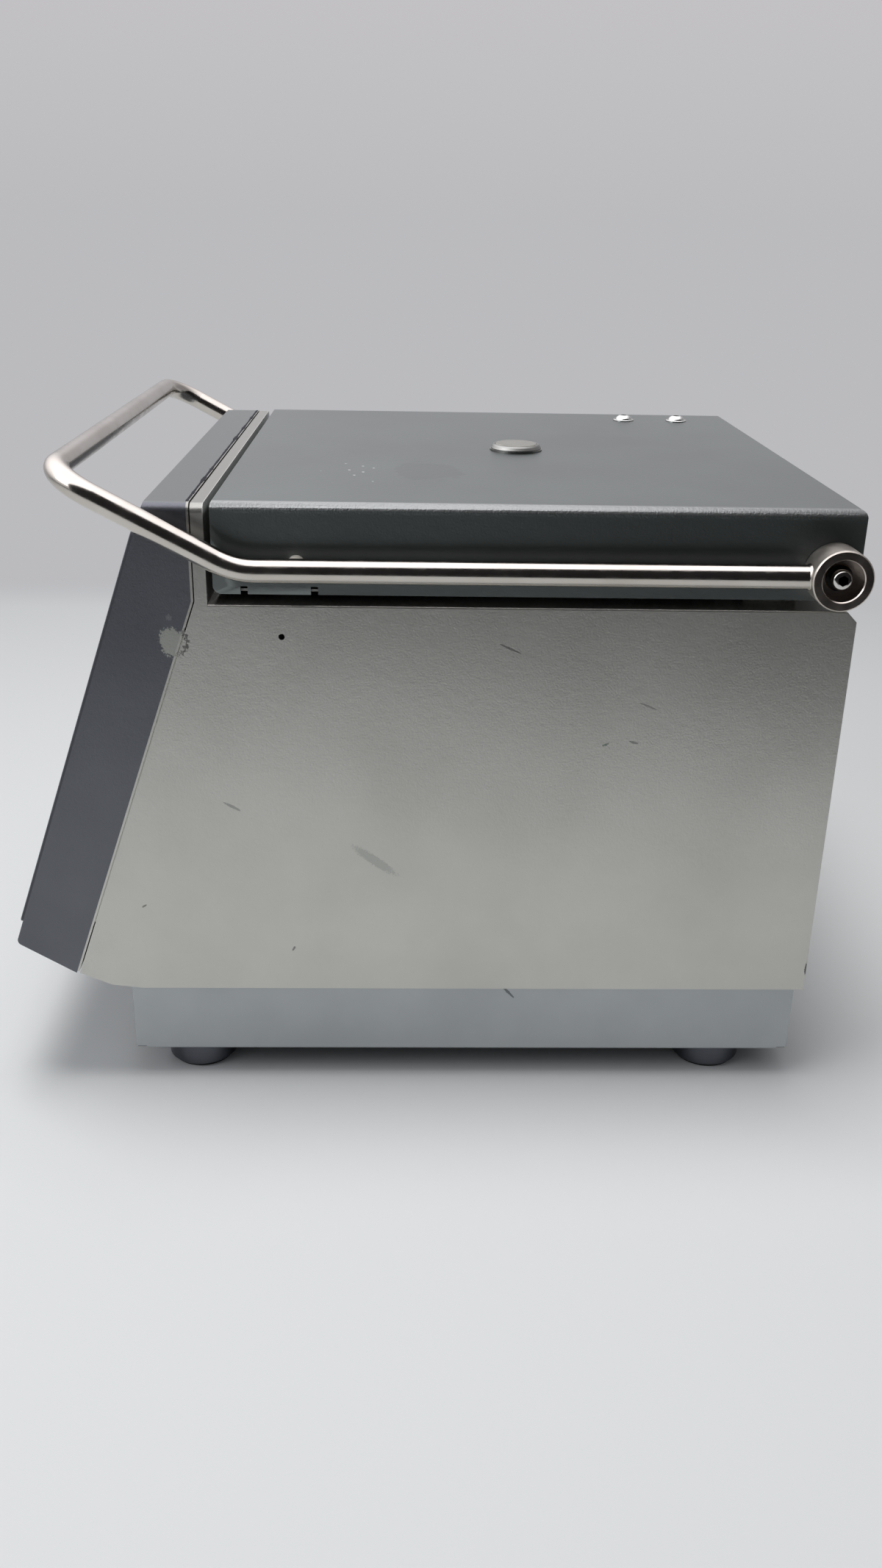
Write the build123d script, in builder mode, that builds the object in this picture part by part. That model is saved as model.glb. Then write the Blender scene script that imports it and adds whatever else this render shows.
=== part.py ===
"""Carousel centrifuge: a bench cell washer with a sheet steel housing, a hinged lid
lifted by a stainless bail, and a carousel rotor with twelve swinging tube holders.

Millimetres. +Z is up, the front is -Y, and +X is the object's right side when it is
seen from behind. The origin is on the floor, at the centre of the whole footprint.
"""
from build123d import *
import os
from math import cos, radians, sin, tan

os.makedirs("parts", exist_ok=True)

# Housing
width = 420.0            # across the side panels
sheet = 1.5              # steel sheet of housing, plinth and lid
plinth_height = 56.0
plinth_inset = 8.0       # side panel to plinth side
plinth_rear_inset = 4.0
plinth_front_set = 75.0  # lid's front edge to plinth's front wall
body_height = 278.0      # plinth top to deck
slope = 19.45            # lean of the front, in degrees from upright
kink_rise = 2.0          # the front starts to lean this far above the deck
nose_rise = 12.0         # lower end of the leaning front, above the plinth
nose_run = 43.0          # underside of the nose, front to back
nose_belly = 2.4         # the underside's bend, above its rear end
deck_chamfer = 7.0       # rear upper edge of the side panels
bridge_width = 7.8       # strip of housing between lid and fascia
bridge_drop = 1.5        # lid top to bridge top
bend_radius = 5.5        # outer bend of lid and bridge edges
floor_flange = 20.0      # inward return along the side panels' lower edge
rear_flange = 14.0
plinth_lip = 12.0        # inward flange on top of the plinth
relief = 7.0             # corner reliefs of the plinth, along and up
relief_cut = 2.4
air_slot = 150.0         # slots in the plinth's floor
air_slot_width = 5.0
air_slot_pitch = 12.0
air_slot_inset = 95.0    # plinth's front or rear to the middle slot

# Feet
pad_height = 2.5
pad_radius = 22.0
foot_height = 19.5
foot_radius = 25.0
foot_side_inset = 40.0   # side panel to foot centre
foot_front_inset = 43.0  # plinth front to foot centre
foot_rear_inset = 52.5   # plinth rear to foot centre
foot_chamfer = 1.0
foot_bolt = 3.2          # radius of the bolt holes in the plinth's floor

# Lid
lid_length = 403.0
lid_height = 57.0
lid_gap = 7.0            # deck to the skirt's lower edge
lid_front_gap = 4.0      # skirt to bridge
rear_step = 2.0          # lid's rear edge to rear panel
skirt_corner = 5.0
notch_width = 4.5
notch_height = 5.0
notch_front = 19.2       # lid's front edge to the first skirt notch
notch_pitch = 43.6
liner_rise = 1.0         # skirt edge to the liner's underside
liner_dish_inset = 10.0  # bowl's wall to the dish's edge
liner_dish_depth = 34.0
liner_margin = 3.0       # liner to skirt
liner_corner = 6.0
liner_hinge_gap = 20.5   # hinge axis to the liner's rear edge
dish_taper = 20.0        # slope of the dish's wall, in degrees from upright
post_radius = 5.0
post_side_inset = 20.0   # lid side to the liner's posts
post_rear_inset = 92.0
post_front_inset = 20.0
sight_radius = 16.0
sight_ring_radius = 19.5
sight_ring_top = 17.2    # ring's outer radius at its top
sight_ring_height = 4.6
sight_ring_foot = 1.2    # flat foot of the ring
sight_groove = 0.7
sight_dome = 5.2
sight_edge = 1.6

# Lid hinge and bail
pivot_drop = 39.0        # lid top to hinge axis
pivot_set = 17.5         # lid's rear edge to hinge axis
shaft_radius = 6.0
corner_clearance = 22.5  # hinge axis to the lid's rear lower corner
bail_radius = 7.5
bail_wall = 1.5
bail_offset = 12.0       # lid side to the bail arm's centre line
knee_set = 388.0         # lid's rear edge to the knee of the bail
knee_angle = 27.9        # rise of the bail's front arms, in degrees
bar_set = 495.5          # lid's rear edge to the bail's cross-bar
knee_bend = 50.0
bar_bend = 28.0
boss_radius = 19.0
boss_length = 22.5
boss_gap = 0.5           # lid side to boss
boss_chamfer = 0.8
bore_chamfer = 0.6
tube_overlap = 2.0       # the tube's ends run this far into the bosses
counterbore_radius = 13.0
counterbore_depth = 11.0
bush_radius = 8.5
screw_head_radius = 6.5  # M8 socket head
screw_head_height = 8.0
screw_head_edge = 0.8
hex_flat = 6.0
hex_depth = 4.5
shaft_proud = 0.4        # the shaft stands out of its bushes, so the washers turn free
washer_height = 1.6
washer_radius = 8.2
spacer_radius = 5.5
spacer_set = 351.0       # lid's rear edge to the bail's front spacer
spacer_rise = 1.5        # above the arm's centre line
bracket_width = 8.0
bracket_inset = 24.0     # lid side to the outer face of a hinge bracket
bracket_reach = 48.0     # hinge axis to the bracket's front
bracket_heel = 14.0      # hinge axis to the bracket's heel
bracket_foot = 20.0      # width of the bracket's foot
bracket_plate = 4.0
bracket_gap = 3.0        # bracket to the liner's notch, each side
hub_radius = 12.5
arm_inset = 42.0         # lid side to the middle of the friction arm
arm_width = 12.0
arm_reach = 96.0         # hinge axis to the arm's front
arm_depth = 14.0         # arm's depth at its front
arm_hub_radius = 10.0
arm_pad_width = 20.0
arm_pad_length = 78.0
arm_pad_height = 4.0
screw_radius = 4.0       # M8 button head screws with a flange
screw_length = 16.0
screw_clearance = 0.5    # screw to its hole in the lid, all round
screw_first = 49.0       # lid's rear edge to the rear screw of the friction arm
screw_pitch = 46.0
button_flange_radius = 8.9
button_flange = 1.1
button_rim = 0.4
button_radius = 7.0
button_height = 4.4
button_crown = 3.7       # radius of the flat on top
button_bulge = 1.25
button_hex = 5.0
button_hex_depth = 2.6

# Front fascia and controls
fascia_depth = 47.5      # front to back, level
fascia_wall = 3.0
bulkhead = 1.5           # sheet between fascia and housing
seam = 0.8               # open seam between bulkhead and side panel
fascia_drop = 1.0        # lid top to fascia top
lip_rise = 36.0          # fascia's lowest front corner, above the plinth
lip_radius = 4.0
panel_thickness = 2.2
panel_rise = 14.5        # lip corner to the panel's lower edge, along the slope
panel_length = 290.0
panel_side_inset = 3.0
panel_corner = 4.0
panel_chamfer = 0.4
window_width = 150.0
window_height = 44.0
window_offset = 62.0     # panel centre to window centre
window_corner = 3.0
window_set = 0.2         # window's face below the panel's
window_frame = 4.0       # flange round the window, behind the panel
window_flange = 2.0
key_width = 30.0
key_height = 15.0
key_offset = -8.0        # panel centre to the row of keys
key_pitch = 44.0
key_proud = 1.6
key_travel = 1.2
key_gap = 0.25
key_row = 5
key_corner = 2.8
key_edge = 0.8
key_flange = 1.5         # flange that keeps a key behind the panel
key_flange_width = 1.5
board_set = 12.0         # panel's rear face to the control board
board_thickness = 1.6
board_post = 3.0
board_margin = 7.0       # fascia's opening to the middle of the board's posts
board_edge = 5.0         # posts' middle to the board's edge
switch_width = 12.0
switch_depth = 10.0
switch_gap = 0.3         # switch to a pressed key
module_gap = 4.0         # display module to the window's rear face
fascia_opening_side = 15.0
fascia_opening_end = 12.0
cable_pass = 80.0
cable_pass_height = 30.0
tab_depth = 14.0         # tabs that tie the bulkhead to the side panels
tab_low = 40.0
tab_high = 20.0

# Chamber and drive
bowl_radius = 150.0
bowl_depth = 150.0
bowl_wall = 1.2
bowl_flange = 12.0
bowl_corner = 20.0
deck_hole_gap = 1.0
guard_gap = 5.0
guard_wall = 3.0
guard_height = 124.0
seal_width = 7.0
seal_inset = 2.0         # bowl flange's edge to the seal
seal_gap = 0.4
spindle_hole = 14.0
collar_height = 20.0
motor_radius = 60.0
motor_clearance = 30.5   # motor's top to the bowl
motor_cap = 14.0
motor_cap_taper = 20.0
motor_fins = 16
motor_fin_gap = 6.0
motor_fin_depth = 4.0
bearing_depth = 24.0
motor_plate_size = 190.0
motor_plate_height = 6.0
motor_plate_corner = 16.0
damper_height = 24.0
damper_radius = 14.0
damper_pitch = 150.0

# Carousel rotor
carousel_drop = 61.0     # deck to the holders' pivots
carousel_radius = 100.0
carousel_height = 8.0
holder_count = 12
holder_circle = 82.0     # radius of the circle of pivots
holder_bore = 6.5        # for a 12 mm tube
holder_wall = 2.0
holder_above = 12.0      # pivot to the holder's mouth
holder_below = 50.0      # pivot to the holder's base
holder_floor = 3.0
holder_window = 28.0
holder_window_width = 7.0
holder_window_drop = 27.0  # pivot to the window's middle
holder_drain = 2.0
trunnion_radius = 2.0
trunnion_length = 4.0
trunnion_gap = 0.3
pocket_gap = 1.8         # holder to pocket wall
pocket_reach = 16.0      # circle of pivots to the pocket's inner end
running = 0.05           # radial clearance of running fits
spindle_radius = 10.0
spindle_gap = 2.0        # spindle's end to the floor of its bearing
nose_radius = 6.0
nose_gap = 2.0           # nose to the top of the hub
shoulder_height = 12.0
shoulder_set = 4.0       # hub's rim to the shoulder's
shoulder_taper = 15.0
stud_radius = 4.0        # M8 stud that takes the rotor nut
stud_length = 12.0
hub_height = 24.0
rotor_hub_radius = 22.0
nut_radius = 15.0
rotor_nut_height = 14.0
nut_chamfer = 1.0
nut_flutes = 8
flute_radius = 3.0

# Lid latch
latch_drop = 20.4        # deck to the latch bolt's axis
striker_half = 8.0
striker_depth = 12.0
striker_set = 13.0       # lid's front edge to the striker's middle
striker_below = 7.6      # bolt's axis to the striker's lower end
striker_edge = 1.5
striker_flange = 40.0
striker_flange_height = 4.0
striker_shift = 1.0      # the flange's middle stands behind the blade's
striker_ledge = 3.0
slot_room = 4.0          # striker to its slot in the deck, at its ends
slot_play = 5.0          # and along its faces
bolt_radius = 3.0
bolt_travel = 12.0
bolt_bar = 6.0
bolt_gap = 2.0           # bolt's tip to the striker when open
bolt_play = 1.0
bar_gap = 4.0            # striker to the bolt's bar
finger = 8.0
release_set = 41.5       # lid's front edge to the release rod
release_radius = 3.0
release_hole = 2.0       # radius of the hole in the right side panel
release_gap = 16.5       # release rod's end to the side panel
plunger_radius = 5.0
coil_size = 30.0
coil_length = 52.0
coil_gap = 30.0          # deck slot to the coil
coil_grip = 14.0         # length of the plunger inside the coil
frame_sheet = 2.0
frame_right = 54.0
frame_lug = 18.0
frame_lug_drop = 10.0
frame_margin = 4.0       # striker's slot to the frame's front edge
frame_guard_gap = 3.0    # frame to guard ring

# Rear panel
trim = 3.0               # the inlet's frame stands out this far
inlet_width = 50.0
inlet_height = 60.0
inlet_side_set = 60.0    # side panel to inlet centre
inlet_rise = 52.0        # plinth top to inlet centre
rocker_radius = 13.0
rocker_width = 12.0
rocker_half_angle = 10.0
rocker_set = 5.8         # frame's face to the rocker's pivot
rocker_pin = 1.5         # radius of its pivot pins
rocker_pin_length = 1.0
rocker_side_gap = 0.3
rocker_room = 0.5
rocker_crest = 4.4       # height of the V face at the rocker's ends
rocker_valley = 2.0
rocker_cut = 9.0         # the drum is cut off this far behind its axis
inlet_lap = 3.0          # inlet's frame over the rear panel
inlet_clearance = 0.5
inlet_depth = 26.0
inlet_well = 19.0
inlet_corner = 3.0
inlet_edge = 0.8
socket_width = 25.0
socket_height = 17.0
socket_corner = 4.0
pin_width = 2.0
pin_height = 4.0
pin_length = 14.0
drawer_width = 24.6
drawer_height = 8.6
drawer_depth = 18.0
drawer_gap = 0.2
drawer_grip = 8.0
drawer_grip_height = 4.0
drawer_grip_depth = 3.0
vent_slot = 46.0
vent_gap = 14.0
vent_width = 4.0
vent_pitch = 11.0
vent_rows = 9
vent_columns = 3

# Heights above the floor
foot_base = pad_height
plinth_base = foot_base + foot_height
body_base = plinth_base + plinth_height
deck = body_base + body_height
skirt_base = deck + lid_gap
lid_top = skirt_base + lid_height
pivot_z = lid_top - pivot_drop
kink_z = deck + kink_rise
nose_z = body_base + nose_rise
lip_z = body_base + lip_rise
bridge_top = lid_top - bridge_drop
fascia_top = lid_top - fascia_drop
lean = tan(radians(slope))

# Front to back, first measured from the rear panel's outer face
seam_set = rear_step + lid_length + lid_front_gap + bridge_width + seam + bulkhead
lip_set = seam_set + fascia_depth + (kink_z - lip_z) * lean
nose_set = seam_set + (kink_z - nose_z) * lean
lip_up = Vector(0, sin(radians(slope)), cos(radians(slope)))
lip_back = Vector(0, lip_set - nose_set, nose_z - lip_z).normalized()
lip_half = radians(lip_up.get_angle(lip_back)) / 2
lip_centre = (lip_up + lip_back).normalized() * (lip_radius / sin(lip_half))
front_reach = lip_set - lip_centre.Y + lip_radius
rear = (front_reach - trim) / 2
lid_rear = rear - rear_step
lid_front = lid_rear - lid_length
recess_front = lid_front - lid_front_gap
shell_front = recess_front - bridge_width
bulkhead_front = shell_front - seam - bulkhead
pivot_y = lid_rear - pivot_set
chamber_y = (lid_rear + lid_front) / 2
plinth_rear = rear - plinth_rear_inset
plinth_front = lid_front - plinth_front_set + rear_step
half = width / 2
inner_half = half - sheet


def leaning(front, z):
    """Y on a front line that is upright above the kink and leans out below it."""
    return front - max(kink_z - z, 0) * lean


# Housing shell: side panels, deck and bridge, folded and welded from sheet
shell_outline = [
    (rear, body_base),
    (leaning(shell_front, nose_z) + nose_run, body_base),
    (leaning(shell_front, nose_z) + nose_run / 2, body_base + nose_belly),
    (leaning(shell_front, nose_z), nose_z),
    (shell_front, kink_z),
    (shell_front, bridge_top),
    (recess_front, bridge_top),
    (recess_front, deck),
    (rear - deck_chamfer, deck),
    (rear, deck - deck_chamfer),
]
cavity_reach = 40.0
turn_in = sheet * tan(radians(22.5))   # a 45 degree bend, outer to inner line
cavity_outline = [
    (rear + cavity_reach, body_base + sheet),
    (leaning(shell_front, nose_z) + nose_run, body_base + sheet),
    (leaning(shell_front, nose_z) + nose_run / 2, body_base + nose_belly + sheet),
    (leaning(shell_front, nose_z), nose_z + sheet),
    (leaning(shell_front, nose_z) - cavity_reach, nose_z + sheet),
    (shell_front - cavity_reach, bridge_top - sheet),
    (recess_front - sheet, bridge_top - sheet),
    (recess_front - sheet, deck - sheet),
    (rear - deck_chamfer - turn_in, deck - sheet),
    (rear, deck - deck_chamfer - turn_in - sheet),
    (rear + cavity_reach, deck - deck_chamfer - turn_in - sheet),
]
slot_half = striker_half + slot_room
slot_depth = striker_depth + 2 * slot_play
striker_y = lid_front + striker_set
latch_z = deck - latch_drop
release_y = lid_front + release_set

with BuildPart() as housing_shell:
    with BuildSketch(Plane.YZ):
        with BuildLine():
            Polyline(*shell_outline, close=True)
        make_face()
    extrude(amount=half, both=True)
    with BuildSketch(Plane.YZ):
        with BuildLine():
            Polyline(*cavity_outline, close=True)
        make_face()
    extrude(amount=inner_half, both=True, mode=Mode.SUBTRACT)
    bridge_edges = housing_shell.edges().filter_by(Axis.Y)
    inner_bends = bridge_edges.filter_by_position(Axis.Z, bridge_top - sheet - 0.1, bridge_top - sheet + 0.1)
    fillet(inner_bends, bend_radius - sheet)
    bridge_edges = housing_shell.edges().filter_by(Axis.Y)
    fillet(bridge_edges.filter_by_position(Axis.Z, bridge_top - 0.1, bridge_top + 0.1), bend_radius)
    # Open floor between the returns
    floor_length = rear - (leaning(shell_front, nose_z) + nose_run) + cavity_reach
    with BuildSketch(Plane.XY.offset(body_base)):
        with Locations((0, rear + cavity_reach - floor_length / 2)):
            Rectangle(width - 2 * floor_flange, floor_length - floor_flange)
    extrude(amount=sheet, mode=Mode.SUBTRACT)
    # Chamber opening, latch slot and the hole of the emergency release
    with BuildSketch(Plane.XY.offset(deck)):
        with Locations((0, chamber_y)):
            Circle(bowl_radius + deck_hole_gap)
        with Locations((0, striker_y)):
            Rectangle(2 * slot_half, slot_depth)
    extrude(amount=-sheet, mode=Mode.SUBTRACT)
    with BuildSketch(Plane.YZ.offset(half)):
        with Locations((release_y, latch_z)):
            Circle(release_hole)
    extrude(amount=-sheet, mode=Mode.SUBTRACT)
    deck_bends = housing_shell.edges().filter_by(Axis.Y).filter_by_position(Axis.Z, deck - 0.1, deck + 0.1)
    fillet(deck_bends.filter_by_position(Axis.X, half - 0.1, half + 0.1), sheet * 0.8)
    deck_bends = housing_shell.edges().filter_by(Axis.Y).filter_by_position(Axis.Z, deck - 0.1, deck + 0.1)
    fillet(deck_bends.filter_by_position(Axis.X, -half - 0.1, -half + 0.1), sheet * 0.8)
housing_shell.part.label = "housing_shell"
export_step(housing_shell.part, "parts/housing_shell.step")

# Bulkhead: the folded sheet between housing and fascia
bulkhead_base = nose_z + sheet
bulkhead_outline = [
    (leaning(bulkhead_front, bulkhead_base) + bulkhead, bulkhead_base),
    (leaning(bulkhead_front, bulkhead_base), bulkhead_base),
    (bulkhead_front, kink_z),
    (bulkhead_front, fascia_top),
    (bulkhead_front + bulkhead, fascia_top),
    (bulkhead_front + bulkhead, kink_z),
]
with BuildPart() as front_bulkhead:
    with BuildSketch(Plane.YZ):
        with BuildLine():
            Polyline(*bulkhead_outline, close=True)
        make_face()
    extrude(amount=half, both=True)
    upright = front_bulkhead.edges().filter_by(Axis.Y)
    fillet(upright.filter_by_position(Axis.Z, fascia_top - 0.1, fascia_top + 0.1), bend_radius)
    # Cable pass behind the control board, and the tabs that carry the side panels
    pass_z = (kink_z + nose_z) / 2
    with BuildSketch(Plane.XZ.offset(-leaning(bulkhead_front, pass_z))):
        with Locations((0, pass_z)):
            SlotOverall(cable_pass, cable_pass_height)
    extrude(amount=cavity_reach, both=True, mode=Mode.SUBTRACT)
    for side in (-1, 1):
        with BuildSketch(Plane.YZ.offset(side * inner_half)):
            with BuildLine():
                Polyline(
                    (leaning(bulkhead_front, nose_z + tab_low) + bulkhead / 2, nose_z + tab_low),
                    (leaning(bulkhead_front, kink_z - tab_high) + bulkhead / 2, kink_z - tab_high),
                    (leaning(bulkhead_front, kink_z - tab_high) + tab_depth, kink_z - tab_high),
                    (leaning(bulkhead_front, nose_z + tab_low) + tab_depth, nose_z + tab_low),
                    close=True,
                )
            make_face()
        extrude(amount=-side * sheet)
front_bulkhead.part.label = "front_bulkhead"
export_step(front_bulkhead.part, "parts/front_bulkhead.step")

# Rear panel: a shallow pan with vents and the cut-out of the mains inlet
panel_top = deck - deck_chamfer - turn_in - sheet
panel_mid = (panel_top + body_base + sheet) / 2
inlet_x = -half + inlet_side_set
inlet_z = body_base + inlet_rise
with BuildPart() as rear_panel:
    with BuildSketch(Plane.XZ.offset(-rear)):
        with Locations((0, panel_mid)):
            Rectangle(2 * inner_half, panel_top - body_base - sheet)
    extrude(amount=rear_flange)
    with BuildSketch(Plane.XZ.offset(-rear + sheet)):
        with Locations((0, panel_mid)):
            Rectangle(2 * (inner_half - sheet), panel_top - body_base - sheet)
    extrude(amount=rear_flange, mode=Mode.SUBTRACT)
    with BuildSketch(Plane.XZ.offset(-rear)):
        with Locations((inlet_x, inlet_z)):
            Rectangle(inlet_width - 2 * inlet_lap, inlet_height - 2 * inlet_lap)
        with Locations((0, panel_mid)):
            with GridLocations(vent_slot + vent_gap, vent_pitch, vent_columns, vent_rows):
                SlotOverall(vent_slot, vent_width)
    extrude(amount=sheet, mode=Mode.SUBTRACT)
rear_panel.part.label = "rear_panel"
export_step(rear_panel.part, "parts/rear_panel.step")

# Plinth: a folded tray with an inward flange that carries the housing
plinth_half = half - plinth_inset
plinth_length = plinth_rear - plinth_front
plinth_y = (plinth_rear + plinth_front) / 2
foot_x = half - foot_side_inset
foot_rows = (plinth_front + foot_front_inset, plinth_rear - foot_rear_inset)
foot_spots = [(side * foot_x, row) for side in (-1, 1) for row in foot_rows]
with BuildPart() as base_plinth:
    with BuildSketch(Plane.XY.offset(plinth_base)):
        with Locations((0, plinth_y)):
            Rectangle(2 * plinth_half, plinth_length)
    extrude(amount=plinth_height)
    fillet(base_plinth.edges().filter_by(Axis.Y).group_by(Axis.Z)[0], sheet)
    with BuildSketch(Plane.XY.offset(plinth_base + sheet)):
        with Locations((0, plinth_y)):
            Rectangle(2 * (plinth_half - sheet), plinth_length - 2 * sheet)
    extrude(amount=plinth_height - 2 * sheet, mode=Mode.SUBTRACT)
    with BuildSketch(Plane.XY.offset(body_base)):
        with Locations((0, plinth_y)):
            Rectangle(2 * (plinth_half - plinth_lip), plinth_length - 2 * plinth_lip)
    extrude(amount=-2 * sheet, mode=Mode.SUBTRACT)
    # Corner reliefs at the ends of the side walls, and air slots in the floor
    with Locations((0, plinth_y, plinth_base)):
        with GridLocations(2 * plinth_half, plinth_length - relief, 2, 2):
            Box(2 * relief_cut, relief, 2 * relief_cut, mode=Mode.SUBTRACT)
    with BuildSketch(Plane.XY.offset(plinth_base)):
        for row in (plinth_front + air_slot_inset, plinth_rear - air_slot_inset):
            with Locations((0, row)):
                with GridLocations(0, air_slot_pitch, 1, 5):
                    SlotOverall(air_slot, air_slot_width)
        with Locations(*foot_spots):
            Circle(foot_bolt)
    extrude(amount=sheet, mode=Mode.SUBTRACT)
base_plinth.part.label = "base_plinth"
export_step(base_plinth.part, "parts/base_plinth.step")

# Feet: turned discs, chamfered below, on rubber pads
with BuildPart() as feet:
    with BuildSketch(Plane.XY.offset(foot_base)):
        with Locations(*foot_spots):
            Circle(foot_radius)
    extrude(amount=foot_height)
    chamfer(feet.edges().filter_by(GeomType.CIRCLE).group_by(Axis.Z)[0], foot_chamfer)
feet.part.label = "feet"
export_step(feet.part, "parts/feet.step")

with BuildPart() as foot_pads:
    with BuildSketch():
        with Locations(*foot_spots):
            Circle(pad_radius)
    extrude(amount=pad_height)
foot_pads.part.label = "foot_pads"
export_step(foot_pads.part, "parts/foot_pads.step")

# Front fascia: a thick walled moulding, open towards the bulkhead
fascia_outline = [
    (bulkhead_front, fascia_top),
    (bulkhead_front - fascia_depth + (fascia_top - kink_z) * lean, fascia_top),
    (bulkhead_front - fascia_depth - (kink_z - lip_z) * lean, lip_z),
    (leaning(bulkhead_front, nose_z), nose_z),
    (bulkhead_front, kink_z),
]
# Plane of the fascia's leaning face: X across, Y up the slope, Z outwards
face_mid = panel_rise + panel_length / 2
lip_corner = Vector(0, bulkhead_front - fascia_depth - (kink_z - lip_z) * lean, lip_z)
face_plane = Plane(origin=lip_corner + lip_up * face_mid, x_dir=(1, 0, 0), z_dir=(0, -lip_up.Z, lip_up.Y))
face_axis = Axis(face_plane.origin, face_plane.z_dir)
panel_width = width - 2 * panel_side_inset
controls_top = window_offset + window_height / 2
controls_base = key_offset - key_height / 2
opening_height = controls_top - controls_base + 2 * fascia_opening_end
opening_mid = (controls_top + controls_base) / 2
opening_width = key_pitch * (key_row - 1) + key_width + 2 * fascia_opening_side
with BuildPart() as front_fascia:
    with BuildSketch(Plane.YZ):
        with BuildLine():
            Polyline(*fascia_outline, close=True)
        make_face()
    extrude(amount=half, both=True)
    lip_edges = front_fascia.edges().filter_by(Axis.X)
    fillet(lip_edges.sort_by(Axis.Y)[0], lip_radius)
    fillet(front_fascia.edges().filter_by(Axis.Y).group_by(Axis.Z)[-1], bend_radius)
    rear_faces = front_fascia.faces().filter_by(Axis.Y) + front_fascia.faces().filter_by(
        lambda face: abs(face.normal_at().dot(face_plane.z_dir) + 1) < 0.001
    )
    offset(amount=-fascia_wall, openings=rear_faces)
    with BuildSketch(face_plane):
        with Locations((0, opening_mid)):
            RectangleRounded(opening_width, opening_height, 2 * fascia_wall)
    extrude(amount=-2 * fascia_wall, mode=Mode.SUBTRACT)
front_fascia.part.label = "front_fascia"
export_step(front_fascia.part, "parts/front_fascia.step")

# Control panel on the fascia, with its window, keys and board
post_grid = (opening_width - 2 * board_margin, opening_height - 2 * board_margin)
key_spots = [((i - (key_row - 1) / 2) * key_pitch, key_offset) for i in range(key_row)]
key_names = ["key_up", "key_down", "key_lid", "key_stop", "key_start"]
with BuildPart() as front_panel:
    with BuildSketch(face_plane):
        RectangleRounded(panel_width, panel_length, panel_corner)
    extrude(amount=panel_thickness)
    chamfer(front_panel.faces().sort_by(face_axis)[-1].edges(), panel_chamfer)
    with BuildSketch(face_plane.offset(panel_thickness)):
        with Locations((0, window_offset)):
            RectangleRounded(window_width + 2 * running, window_height + 2 * running, window_corner)
        with Locations(*key_spots):
            RectangleRounded(key_width + 2 * key_gap, key_height + 2 * key_gap, key_corner + key_gap)
    extrude(amount=-panel_thickness, mode=Mode.SUBTRACT)
    # Posts for the control board
    with BuildSketch(face_plane):
        with Locations((0, opening_mid)):
            with GridLocations(*post_grid, 2, 2):
                Circle(board_post)
    extrude(amount=-board_set)
front_panel.part.label = "front_panel"
export_step(front_panel.part, "parts/front_panel.step")

with BuildPart() as display_window:
    with BuildSketch(face_plane):
        with Locations((0, window_offset)):
            RectangleRounded(window_width, window_height, window_corner)
    extrude(amount=panel_thickness - window_set)
    with BuildSketch(face_plane):
        with Locations((0, window_offset)):
            RectangleRounded(window_width + 2 * window_frame, window_height + 2 * window_frame, window_corner)
    extrude(amount=-window_flange)
display_window.part.label = "display_window"
export_step(display_window.part, "parts/display_window.step")

keys = []
for spot, key_name in zip(key_spots, key_names):
    with BuildPart() as key:
        with BuildSketch(face_plane):
            with Locations(spot):
                RectangleRounded(key_width, key_height, key_corner)
        extrude(amount=panel_thickness + key_proud)
        fillet(key.faces().sort_by(face_axis)[-1].edges(), key_edge)
        with BuildSketch(face_plane):
            with Locations(spot):
                RectangleRounded(key_width + 2 * key_flange_width, key_height + 2 * key_flange_width, key_corner)
        extrude(amount=-key_flange)
    key.part.label = key_name
    export_step(key.part, f"parts/{key_name}.step")
    keys.append(key.part)

board_plane = face_plane.offset(-board_set)
switch_height = board_set - key_flange - key_travel - switch_gap
with BuildPart() as control_board:
    with BuildSketch(board_plane):
        with Locations((0, opening_mid)):
            Rectangle(post_grid[0] + 2 * board_edge, post_grid[1] + 2 * board_edge)
    extrude(amount=-board_thickness)
    with BuildSketch(board_plane):
        with Locations(*key_spots):
            Rectangle(switch_width, switch_depth)
    extrude(amount=switch_height)
    with BuildSketch(board_plane):
        with Locations((0, window_offset)):
            Rectangle(window_width - 2 * window_frame, window_height - 2 * window_frame)
    extrude(amount=board_set - module_gap)
control_board.part.label = "control_board"
export_step(control_board.part, "parts/control_board.step")

# Chamber bowl, hung by its flange on the deck
bowl_base = deck - bowl_depth
bowl_top = deck + bowl_wall
with BuildPart() as chamber_bowl:
    with BuildSketch(Plane.XY.offset(bowl_base)):
        with Locations((0, chamber_y)):
            Circle(bowl_radius)
    extrude(amount=bowl_depth + bowl_wall)
    fillet(chamber_bowl.edges().filter_by(GeomType.CIRCLE).group_by(Axis.Z)[0], bowl_corner)
    offset(amount=-bowl_wall, openings=chamber_bowl.faces().filter_by(Axis.Z).sort_by(Axis.Z)[-1])
    with BuildSketch(Plane.XY.offset(deck)):
        with Locations((0, chamber_y)):
            Circle(bowl_radius + bowl_flange)
            Circle(bowl_radius - bowl_wall / 2, mode=Mode.SUBTRACT)
    extrude(amount=bowl_wall)
    with BuildSketch(Plane.XY.offset(bowl_base)):
        with Locations((0, chamber_y)):
            Circle(spindle_hole + bowl_wall)
    extrude(amount=collar_height)
    with BuildSketch(Plane.XY.offset(bowl_base)):
        with Locations((0, chamber_y)):
            Circle(spindle_hole)
    extrude(amount=collar_height, mode=Mode.SUBTRACT)
chamber_bowl.part.label = "chamber_bowl"
export_step(chamber_bowl.part, "parts/chamber_bowl.step")

with BuildPart() as guard_ring:
    with BuildSketch(Plane.XY.offset(deck - sheet)):
        with Locations((0, chamber_y)):
            Circle(bowl_radius + guard_gap + guard_wall)
            Circle(bowl_radius + guard_gap, mode=Mode.SUBTRACT)
    extrude(amount=-guard_height)
guard_ring.part.label = "guard_ring"
export_step(guard_ring.part, "parts/guard_ring.step")

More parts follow.
